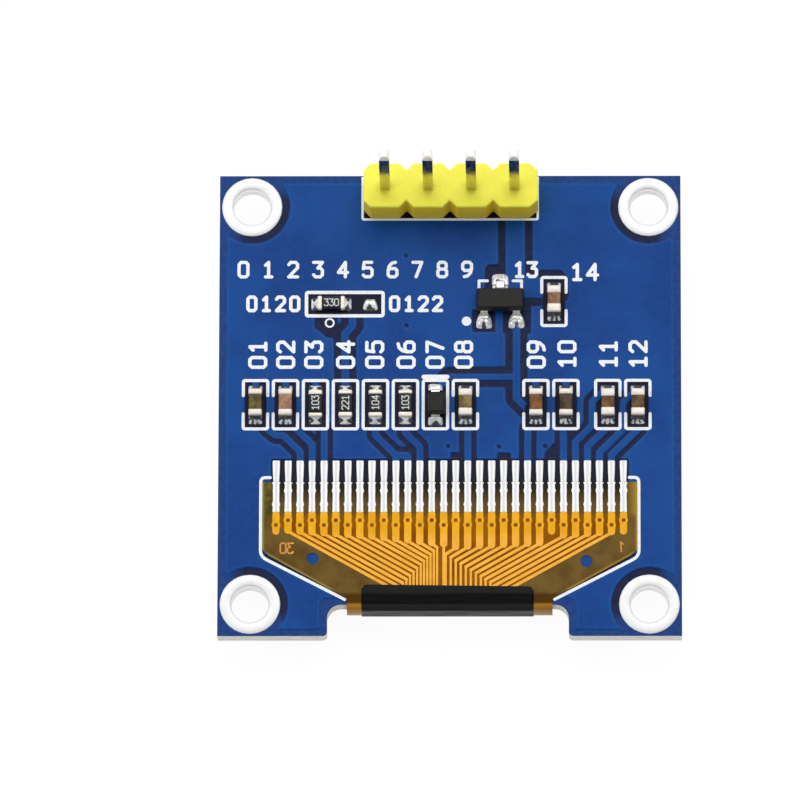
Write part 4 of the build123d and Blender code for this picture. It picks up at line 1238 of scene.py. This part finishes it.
bright_tin.roughness(bright_tin.spread(drawing_lines, 0.3, 0.7, 0.09, 0.2))
bright_tin.bump(bright_tin.noise(7.0, 2.0, stretch=(1, 1, 0.15)), 0.006)
FIRST_PIN, PIN_STEP = (PIN_SPOTS[0].x * MM, PIN_SPOTS[0].y * MM, 0.0), (PIN_PITCH * MM, 0.0, 0.0)
pins = row_recipe("wires in the strip", 4, FIRST_PIN, PIN_STEP, bright_tin.material)
pin_piece = pins.cast("header_pins", wire)
PIN_LEAN = 0.0015  # share by which the pins draw together with each millimetre above the strip
for corner in pin_piece.data.vertices:
    corner.co.x *= 1 - PIN_LEAN * max(0.0, corner.co.z / MM - housing_high.z)
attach(pin_piece, "root")
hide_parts("header_pin_1", "header_pin_2", "header_pin_3", "header_pin_4")

# their joints on the display side: solder drawn up each tail in a hollow cone
joint_low = height_of("header_solder", 0)
cone_profile = [(0.33, joint_low), (0.36, joint_low + 0.02), (0.4, joint_low + 0.2),
                (0.47, joint_low + 0.4), (0.6, joint_low + 0.6), (0.76, joint_low + 0.74),
                (0.86, BOARD_FRONT - 0.002), (0.5, BOARD_FRONT), (0.5, BOARD_BACK + 0.04),
                (0.33, BOARD_BACK + 0.04)]
cone = square_up(turned("cone", cone_profile, 48))
bright_solder = Finish("bright solder", (238, 238, 238), roughness=0.16, metallic=1.0)
bright_solder.clouds(2.5, 3.0, (224, 224, 226), (246, 245, 243))
bright_solder.roughness(bright_solder.patches(5.0, 2.0, 0.3, 0.7, 0.12, 0.22))
bright_solder.relief(1.5, 1.0, 0.008, 0.5)
cones = row_recipe("joints along the strip", 4, FIRST_PIN, PIN_STEP, bright_solder.material)
cone_piece = cones.cast("header_joints", cone)
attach(cone_piece, "root")
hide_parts("header_solder")


# ---------------------------------------------------------------- display glass
# Two panes of soda glass sealed round their rim with resin, a light-emitting stack and a
# drying sheet between them, a film polarizer in front and a driver chip bonded to the ledge.
clear_glass = Finish("soda glass", (196, 214, 208), roughness=0.04, specular=0.5)
clear_glass.set(**{"Transmission Weight": 0.7, "IOR": 1.52})
clear_glass.clouds(0.4, 2.0, (186, 206, 200), (204, 220, 214))
clear_glass.relief(14.0, 3.0, 0.003)
paint(nodes["front_glass"], clear_glass)
paint(nodes["rear_glass"], clear_glass)

polarizer_film = Finish("polarizer film", (16, 17, 20), roughness=0.16, specular=0.5)
polarizer_film.clouds(0.6, 3.0, (12, 13, 16), (22, 23, 27))
polarizer_film.relief(0.8, 2.0, 0.01)
paint(nodes["polarizer"], polarizer_film)

resin = Finish("sealing resin", (58, 60, 58), roughness=0.45)
resin.clouds(3.0, 3.0, (48, 50, 48), (74, 76, 72))
paint(nodes["edge_seal"], resin)

stack = Finish("light-emitting stack", (38, 36, 40), roughness=0.2, metallic=0.6)
dots = stack.node("TexWave", wave_type="BANDS", bands_direction="X", wave_profile="SIN")
dots.inputs["Scale"].default_value = 1.85
stack.link(stack.place(), dots.inputs["Vector"])
stack.colour(stack.mix(dots.outputs["Fac"], (30, 29, 33), (58, 54, 60)))
paint(nodes["emitter_film"], stack)

drier = Finish("drying sheet", (226, 224, 214), roughness=0.85, specular=0.2)
drier.clouds(6.0, 4.0, (212, 209, 198), (234, 232, 224))
drier.relief(16.0, 3.0, 0.02)
paint(nodes["desiccant_sheet"], drier)

silicon = Finish("bare silicon", (70, 72, 80), roughness=0.22, metallic=0.7)
cells = silicon.node("TexVoronoi", feature="F1", distance="CHEBYCHEV")
cells.inputs["Scale"].default_value = 5.0
silicon.link(silicon.place(), cells.inputs["Vector"])
silicon.colour(silicon.mix(cells.outputs["Distance"], (60, 62, 72), (98, 96, 104)))
paint(nodes["driver_chip"], silicon)

foam = Finish("foam mounting tape", (44, 44, 46), roughness=0.9, specular=0.2)
pores = foam.patches(22.0, 3.0, 0.4, 0.62)
foam.colour(foam.mix(pores, (28, 28, 30), (62, 62, 64)))
foam.bump(pores, 0.03)
paint(nodes["mounting_tape"], foam)


# ---------------------------------------------------------------- flexible circuit
# One amber polyimide film, 0.06 mm thick. Its broad end is soldered to the board, its neck is
# folded over the notch and bonded to the glass on the other side.
FILM_THICK = 0.06
FILM_TOP = SKIN_TOP + FILM_THICK
FLEX_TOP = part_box("flex_film")[1].y / MM
NECK, FLEX_HALF = 6.0, 10.95  # half widths of the film's neck and of its broad end
NECK_Y, SHOULDER_Y = -11.68, -8.75
FILM_HOLES = ((-8.0, -9.27), (7.98, -9.43))
glass_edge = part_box("front_glass")[0].y / MM
ledge_top = height_of("front_glass", 1)
TOP_BEND, LOW_BEND = 0.2, 0.57  # inner radii of the fold


def fold_line(skin, back_end, front_end, steps=10):
    """Heights and depths of a sheet that goes round the notch, `skin` outside the film's inner face."""
    wall = NOTCH_Y - 0.22
    upper = (wall + TOP_BEND, SKIN_TOP - TOP_BEND)
    lower = (wall + LOW_BEND, ledge_top + 0.02 + FILM_THICK + LOW_BEND)
    a, b = TOP_BEND + skin, LOW_BEND + skin
    turns = [math.pi / 2 * i / steps for i in range(steps + 1)]
    line = [(back_end, upper[1] + a)]
    line += [(upper[0] - a * math.sin(t), upper[1] + a * math.cos(t)) for t in turns]
    line += [(lower[0] - b * math.cos(t), lower[1] - b * math.sin(t)) for t in turns]
    return line + [(front_end, lower[1] - b)]


def swept(name, line, outer, left, right, columns=2, lift=None):
    """A sheet between two section lines, drawn out along X and closed; lift shifts a point along Y."""
    count, points, faces = len(line), [], []
    for column in range(columns + 1):
        x = left + (right - left) * column / columns
        points += [(x, y + (lift(x, y, z) if lift else 0.0), z) for y, z in line + outer]
    for column in range(columns):
        a, b = column * 2 * count, (column + 1) * 2 * count
        for i in range(count - 1):
            faces.append([a + i, a + i + 1, b + i + 1, b + i])
            faces.append([a + count + i, b + count + i, b + count + i + 1, a + count + i + 1])
        faces.append([a, b, b + count, a + count])
        faces.append([a + count - 1, a + 2 * count - 1, b + 2 * count - 1, b + count - 1])
    for base, flip in ((0, False), (columns * 2 * count, True)):
        for i in range(count - 1):
            quad = [base + i, base + count + i, base + count + i + 1, base + i + 1]
            faces.append(quad[::-1] if flip else quad)
    return square_up(piece_from(name, points, faces, smooth=True))


seam_y = NOTCH_Y - 0.02
corner_in, corner_out = (-10.55, -9.1), (10.55, -9.1)
film_outline = [(-FLEX_HALF, SHOULDER_Y), corner_in, (-NECK, NECK_Y), (-NECK, seam_y), (NECK, seam_y),
                (NECK, NECK_Y), corner_out, (FLEX_HALF, SHOULDER_Y), (FLEX_HALF, FLEX_TOP),
                (-FLEX_HALF, FLEX_TOP)]
film = plate("flex_sheet", [film_outline], SKIN_TOP + 0.001, FILM_TOP,
             holes=[disc(x, y, 0.35) for x, y in FILM_HOLES])
bonded_end = glass_edge + 1.6
inner, outer = [fold_line(skin, seam_y, bonded_end) for skin in (0.001, FILM_THICK)]
fold = swept("fold", inner, outer, -NECK, NECK)
film = joined("flex_sheet", [film, fold])
film.name = "flex_sheet"
amber = Finish("amber polyimide", (112, 84, 42), roughness=0.36, specular=0.12)
amber.set(**{"IOR": 1.25})
down, sideways = amber.along("Y"), amber.join("ABSOLUTE", amber.along("X"), 0.0)
clouds = amber.patches(0.7, 3.0, 0.35, 0.65)
flat_tone = amber.mix(clouds, (92, 70, 30), (112, 88, 40))
FAN_ANGLE = math.radians(29)  # of the slanting conductors and the film's shoulders
fan_edge = amber.join("MULTIPLY_ADD", down, 1 / math.tan(FAN_ANGLE))
fan_edge.node.inputs[2].default_value = 9.55 + 7.7 / math.tan(FAN_ANGLE)
fan = amber.join("SUBTRACT", amber.join("MINIMUM", fan_edge, 10.3), sideways)
between_strips = amber.mix(clouds, (128, 72, 0), (148, 88, 2))
flat_tone = amber.mix(amber.spread(fan, 0.0, 0.12), flat_tone, between_strips)
between_ends = amber.mix(amber.spread(down, -6.3, -4.9), (98, 76, 34), (36, 34, 26))
outward = amber.spread(sideways, 10.3, 11.0)
left_border = amber.mix(amber.patches(1.3, 3.0, 0.38, 0.62), (70, 64, 26), (114, 98, 36))
right_border = amber.mix(outward, (106, 82, 38), (158, 127, 44))
border = amber.mix(amber.spread(amber.along("X"), -1, 1), left_border, right_border)
near_lands = amber.mix(amber.spread(sideways, 10.3, 10.45), between_ends, border)
body_tone = amber.mix(amber.spread(down, -6.9, -6.45), flat_tone, near_lands)
# Where the neck starts to bend it is painted darker: painted shade.
neck_painted_shade = amber.mix(amber.spread(down, -11.5, -11.25), (76, 50, 2), body_tone)
# Round the fold the film is painted a lighter amber, lightest below 1.6 mm: a painted highlight on the
# curved film.
bend = amber.mix(amber.spread(amber.along("Z"), 1.6, 2.4), (206, 164, 96), (168, 120, 40))
neck_tone = amber.mix(amber.spread(down, -12.1, -11.88), bend, neck_painted_shade)
slant = amber.join("SUBTRACT", amber.join("MULTIPLY", sideways, 0.493),
                   amber.join("MULTIPLY", down, 0.87))
cut_edge = amber.join("MAXIMUM", amber.spread(sideways, 10.78, 10.95),
                      amber.spread(slant, 12.95, 13.12))
cut_tone = amber.mix(amber.spread(amber.along("X"), -1, 1), (158, 146, 72), (176, 138, 50))
cut_edge = amber.join("MULTIPLY", cut_edge, amber.spread(down, -11.25, -11.05, 0.0, 0.8))
amber.colour(amber.mix(cut_edge, neck_tone, cut_tone))
amber.relief(0.9, 2.0, 0.02)
paint(film, amber)
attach(film, "root")
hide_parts("flex_film")

# tinned lands on the board and the film's own soldered ends, one of each for every conductor
def domed_bar(name, stations, low):
    """A bar along Y with a domed top: stations give y, half width and height of the crown."""
    across = [-1.0, -0.86, -0.55, 0.0, 0.55, 0.86, 1.0]
    crown = [0.0, 0.52, 0.86, 1.0, 0.86, 0.52, 0.0]
    width, points, faces = len(across), [], []
    for y, half_width, height in stations:
        points += [(u * half_width, y, low + 0.02 + height * c) for u, c in zip(across, crown)]
        points += [(half_width, y, low), (-half_width, y, low)]
    ring = width + 2
    for row in range(len(stations) - 1):
        for i in range(ring):
            j = (i + 1) % ring
            a = row * ring
            faces.append([a + i, a + j, a + ring + j, a + ring + i])
    faces.append(list(range(ring))[::-1])
    faces.append([(len(stations) - 1) * ring + i for i in range(ring)])
    return square_up(piece_from(name, points, faces, smooth=True))


def rounded_ends(stations, reach):
    """Stations with their first and last ones drawn in to a round end."""
    way = 1 if stations[-1][0] > stations[0][0] else -1

    def end(y, half_width, height, inwards):
        """From the tip to where the bar has its full section."""
        return [(y, half_width * 0.45, height * 0.35),
                (y + inwards * reach * 0.3, half_width * 0.8, height * 0.75),
                (y + inwards * reach, half_width, height),
                (y + inwards * (reach + 0.04), half_width, height)]

    return end(*stations[0], way) + stations[1:-1] + end(*stations[-1], -way)[::-1]


land_line = [(LAND_TOP, 0.218, 0.05), (-3.9, 0.21, 0.05), (-4.35, 0.19, 0.05),
             (FLEX_TOP - 0.02, 0.175, 0.05)]
land = domed_bar("land", rounded_ends(land_line, 0.03), BOARD_BACK)
land_tin = Finish("tinned land", (250, 250, 250), roughness=0.36, metallic=0.15, specular=0.4)
domed = land_tin.mix(land_tin.noise(1.6, 3.0), (244, 243, 244), (254, 254, 254))
half_pitch = LAND_PITCH / 2
# A grey line is painted down the middle of every land and soldered end: painted shade on the rounded
# solder.
from_middle = land_tin.join("SUBTRACT", land_tin.along("X"), half_pitch)
from_middle = land_tin.join("PINGPONG", from_middle, half_pitch)
land_tin.colour(land_tin.mix(land_tin.spread(from_middle, 0.035, 0.125), (208, 208, 210), domed))
land_tin.roughness(land_tin.patches(3.0, 2.0, 0.3, 0.7, 0.32, 0.42))
land_tin.relief(2.0, 1.0, 0.004)
lands = row_recipe("lands in a row", LAND_COUNT, (land_x(1) * MM, 0.0, 0.0), (LAND_PITCH * MM, 0.0, 0.0),
                   land_tin.material, seed=4, unevenness=0.04)
land_piece = lands.cast("flex_lands_row", land)
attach(land_piece, "root")
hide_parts("flex_lands")



def bulge(y, half_width, end_width=0.19):
    """Stations of a swelling in the solder, from the upper to the lower end."""
    between = (half_width + 0.19) / 2
    return [(y + 0.16, 0.19, 0.035), (y + 0.08, between, 0.036), (y, half_width, 0.038),
            (y - 0.08, between, 0.036), (y - 0.16, end_width, 0.035)]


# every second conductor swells more at its upper place, the others at their lower one
finger_sets = []
for first, upper_swell, lower_swell in ((1, 0.2, 0.245), (2, 0.245, 0.2)):
    line = [(FLEX_TOP, 0.235, 0.035), (-4.76, 0.235, 0.035), (-4.82, 0.19, 0.035)]
    line += bulge(-5.2, upper_swell) + [(-5.6, 0.185, 0.035)] + bulge(-6.02, lower_swell, 0.195)
    finger = domed_bar("finger", rounded_ends(line + [(-6.5, 0.205, 0.035)], 0.02), FILM_TOP - 0.02)
    row = row_recipe("soldered ends in a row", LAND_COUNT // 2, (land_x(first) * MM, 0.0, 0.0),
                     (2 * LAND_PITCH * MM, 0.0, 0.0), land_tin.material, seed=10 + first, unevenness=0.05)
    finger_sets.append(row.cast("finger_set", finger))
finger_piece = joined("soldered_fingers", finger_sets)
paint(finger_piece, land_tin)
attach(finger_piece, "root")
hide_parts("flex_fingers")


# ---------------------------------------------------------------- conductors
# Thirty copper strips under the film's amber cover. From a test pad each, they turn and run
# slanting to the neck; three are not joined to anything and stop short.
SLOPE = math.tan(FAN_ANGLE)
TAPE_TOP = -10.75
RUN_END = -11.2


def turn_height(number):
    """Where a conductor leaves its column, by its place in the row."""
    places = (2, 9, 14, 15, 16, 23, 25, 29)
    heights = (-7.7, -8.05, -8.45, -8.53, -8.7, -8.45, -8.0, -7.8)
    for low, high, at_low, at_high in zip(places, places[1:], heights, heights[1:]):
        if number <= high:
            return at_low + (at_high - at_low) * (number - low) / (high - low)
    return heights[-1]


def pad_height(number):
    """The test pads stand in two rows, odd numbers in the lower one."""
    return -7.27 if number % 2 else -6.98


# the lines, left and right of the middle, at which the slanting conductors turn straight down
HOOK_LINES = {1: ((-2.5, -10.5), (-0.9, -8.8)), -1: ((1.9, -10.4), (0.2, -9.3))}
conductor_shapes = []
for number in range(1, LAND_COUNT + 1):
    x = land_x(number)
    if number in (1, 24, 30):
        conductor_shapes += strokes([(x, -6.6), (x, -7.64)], 0.42)
    else:
        turn = turn_height(number)
        conductor_shapes += strokes([(x, -6.6), (x, turn + 0.12)], 0.43)
        if number == 15:
            conductor_shapes += strokes([(x, turn), (x, RUN_END)], 0.16)
        else:
            inward = 1 if number < 15 else -1
            (ax, ay), (bx, by) = HOOK_LINES[inward]
            lean = (by - ay) / (bx - ax)
            hook_x = (turn + inward * SLOPE * x - ay + lean * ax) / (lean + inward * SLOPE)
            hook_y = ay + lean * (hook_x - ax)
            if hook_y < TAPE_TOP:
                reach = (turn - RUN_END) / SLOPE
                conductor_shapes += strokes([(x, turn + 0.06), (x + inward * reach, RUN_END)], 0.18)
            else:
                conductor_shapes += strokes([(x, turn + 0.06), (hook_x, hook_y)], 0.18)
                conductor_shapes += strokes([(hook_x, hook_y), (hook_x, RUN_END)], 0.13)
    conductor_shapes.append(disc(x, pad_height(number), 0.26, 20))
pricks = [disc(land_x(number), pad_height(number), 0.12, 14) for number in range(1, LAND_COUNT + 1)]
end_numbers = numerals("30", -9.15, -8.96, 0.6, 0.09, 0.42, stretch=0.95, mirrored=True)
end_numbers += strokes([(10.02, -8.86), (9.98, -8.3), (10.12, -8.42)], 0.09)
conductors = plate("conductors", conductor_shapes, FILM_TOP - 0.002, height_of("flex_tracks", 1),
                   holes=pricks, parts=[(end_numbers, FILM_TOP - 0.002, FILM_TOP + 0.006)])
gold = Finish("copper under amber", (236, 162, 34), roughness=0.34, metallic=0.1, specular=0.12)
sheen = gold.patches(1.0, 3.0, 0.3, 0.7)
straight = gold.mix(sheen, (218, 154, 2), (232, 168, 12))
slanting = gold.mix(sheen, (230, 165, 50), (241, 176, 62))
strips = gold.mix(gold.spread(gold.along("Y"), -8.3, -7.5), slanting, straight)
label = gold.join("MULTIPLY", gold.spread(gold.join("ABSOLUTE", gold.along("X"), 0.0), 9.2, 9.25),
                  gold.spread(gold.along("Y"), -8.2, -8.1, 1.0, 0.0))
gold.colour(gold.mix(label, strips, (206, 136, 62)))
gold.relief(2.0, 2.0, 0.01)
paint(conductors, gold)
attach(conductors, "root")
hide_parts("flex_tracks")


# ---------------------------------------------------------------- bend tape
# A strip of black polyester tape that holds the fold down. It bulges over the notch's edge;
# its roughness and relief run in streaks along the bend, and its colour holds painted highlights.
tape_left, tape_right = [corner.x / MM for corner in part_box("bend_tape")]


def dense(line, spacing):
    """A section line with its straight runs divided."""
    points = [line[0]]
    for start, end in zip(line[:-1], line[1:]):
        parts = max(1, int(math.dist(start, end) / spacing))
        points += [(start[0] + (end[0] - start[0]) * k / parts, start[1] + (end[1] - start[1]) * k / parts)
                   for k in range(1, parts + 1)]
    return points


tape_inner, tape_outer = [dense(fold_line(skin, TAPE_TOP, -10.4, 9), 0.16) for skin in (0.061, 0.13)]
shared_length = min(len(tape_inner), len(tape_outer))
tape_inner, tape_outer = tape_inner[:shared_length], tape_outer[:shared_length]


def tape_lift(x, y, z):
    """The upper end lies at a slight slope with round corners; the fold itself stays put."""
    share = (x - tape_left) / (tape_right - tape_left)
    slope = -0.1 - 0.12 * share
    reach = max(0.0, 1 - abs(y - TAPE_TOP) / 0.8) if z > SKIN_TOP else 0.0
    edge = min(x - tape_left, tape_right - x)
    corner = 0.3 - math.sqrt(max(0.0, 0.09 - (0.3 - edge) ** 2)) if edge < 0.3 else 0.0
    return (slope - corner) * reach


tape = swept("fold_tape", tape_inner, tape_outer, tape_left, tape_right, 60, tape_lift)
black_tape = Finish("black polyester tape", (12, 12, 13), roughness=0.38, specular=0.08)
black_tape.set(**{"IOR": 1.25})
streaks = black_tape.noise(1.1, 3.0, stretch=(0.45, 6.0, 6.0))
# The streaks are painted in two blacks as a painted sheen; the same streaks set its roughness and relief.
painted_streak_sheen = black_tape.mix(black_tape.spread(streaks, 0.4, 0.7), (9, 9, 10), (20, 20, 20))
across = black_tape.along("Y")
# Along its upper end, above -11.27 mm, and round the bend, below -12.12 mm, the tape is painted a lighter
# grey: painted highlights.
flat = black_tape.mix(black_tape.spread(across, -11.47, -11.27), painted_streak_sheen, (32, 33, 33))
painted_fold_highlight = black_tape.mix(black_tape.spread(across, -12.55, -12.3), (54, 51, 46), (36, 37, 36))
black_tape.colour(black_tape.mix(black_tape.spread(across, -12.12, -11.96), painted_fold_highlight, flat))
black_tape.roughness(black_tape.spread(streaks, 0.35, 0.65, 0.24, 0.42))
black_tape.bump(streaks, 0.02)
paint(tape, black_tape)
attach(tape, "root")
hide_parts("bend_tape")


# ---------------------------------------------------------------- studio
# A pale floor under the part, a broad soft lamp behind its header, a weak one at the left and
# a dim, nearly even sky. A long lens looks down on the component side.
FLOOR_HALF, FLOOR_LEVEL = 1200, -0.02
floor_corners = oblong(-FLOOR_HALF, -FLOOR_HALF, FLOOR_HALF, FLOOR_HALF)
floor = piece_from("studio_floor", [(x, y, FLOOR_LEVEL) for x, y in floor_corners], [[0, 1, 2, 3]])
paper = Finish("white paper", (246, 246, 246), roughness=0.9, specular=0.1)
glow = paper.node("Emission")
glow.inputs["Strength"].default_value = 1.03
rays = paper.node("LightPath").outputs
seen = paper.join("MAXIMUM", rays["Is Camera Ray"], rays["Is Glossy Ray"])
seen = paper.join("MAXIMUM", seen, rays["Is Transmission Ray"])
blend = paper.node("MixShader")
for source, target in zip((paper.join("MULTIPLY", seen, 0.92), paper.shader.outputs[0], glow.outputs[0]),
                          blend.inputs):
    paper.link(source, target)
paper.link(blend.outputs[0], paper.tree.nodes["Material Output"].inputs["Surface"])
paint(floor, paper)

world = bpy.data.worlds.new("studio air")
world.use_nodes = True
air = world.node_tree
backdrop = air.nodes["Background"]
backdrop.inputs["Strength"].default_value = 1.0
direction = air.nodes.new("ShaderNodeTexCoord")
split = air.nodes.new("ShaderNodeSeparateXYZ")
level = air.nodes.new("ShaderNodeMath")
level.operation = "MULTIPLY"
air.links.new(direction.outputs["Generated"], split.inputs[0])
# dimmer overhead than at the horizon, and dimmer in front of the part than behind it
for target, axis, limits in zip(level.inputs, "ZY", ((0.0, 1.0, 0.8, 0.24), (-0.95, -0.15, 0.7, 1.05))):
    ramp = air.nodes.new("ShaderNodeMapRange")
    for socket, value in zip(RANGE_SOCKETS, limits):
        ramp.inputs[socket].default_value = value
    air.links.new(split.outputs[axis], ramp.inputs["Value"])
    air.links.new(ramp.outputs["Result"], target)
air.links.new(level.outputs[0], backdrop.inputs["Color"])
bpy.context.scene.world = world


def soft_lamp(name, place, aim, size, watts):
    lamp = bpy.data.lights.new(name, "AREA")
    lamp.shape = "RECTANGLE"
    lamp.size, lamp.size_y = size
    lamp.energy = watts
    holder = bpy.data.objects.new(name, lamp)
    bpy.context.scene.collection.objects.link(holder)
    holder.location = place
    holder.rotation_euler = (Vector(aim) - Vector(place)).to_track_quat("-Z", "Y").to_euler()
    return holder


soft_lamp("soft lamp behind the header", (0.03, 0.2, 0.4), (0, 0, 0), (0.5, 0.3), 1.35)
soft_lamp("weak lamp at the left", (-0.3, -0.05, 0.4), (0, 0, 0), (0.25, 0.25), 0.45)

LENS, DISTANCE = 499.3, 650  # a long lens from far away, in millimetres
camera_data = bpy.data.cameras.new("camera")
camera_data.sensor_width = 36
camera_data.lens = LENS
camera_data.clip_start, camera_data.clip_end = 0.01, 10
camera = bpy.data.objects.new("camera", camera_data)
bpy.context.scene.collection.objects.link(camera)
AIM = Vector((-2.923, 0.282, 3.0)) * MM
TILT, SIDE, ROLL = math.radians(14.3), math.radians(0.75), math.radians(0.148)
back = Vector((math.sin(SIDE), -math.sin(TILT), math.cos(TILT))).normalized()
right = Vector((0, 1, 0)).cross(back).normalized()
facing = Matrix((right, back.cross(right), back)).transposed() @ Matrix.Rotation(ROLL, 3, "Z")
camera.location = AIM + back * DISTANCE * MM
camera.rotation_euler = facing.to_euler()
bpy.context.scene.camera = camera
bpy.context.scene.view_settings.view_transform = "Standard"
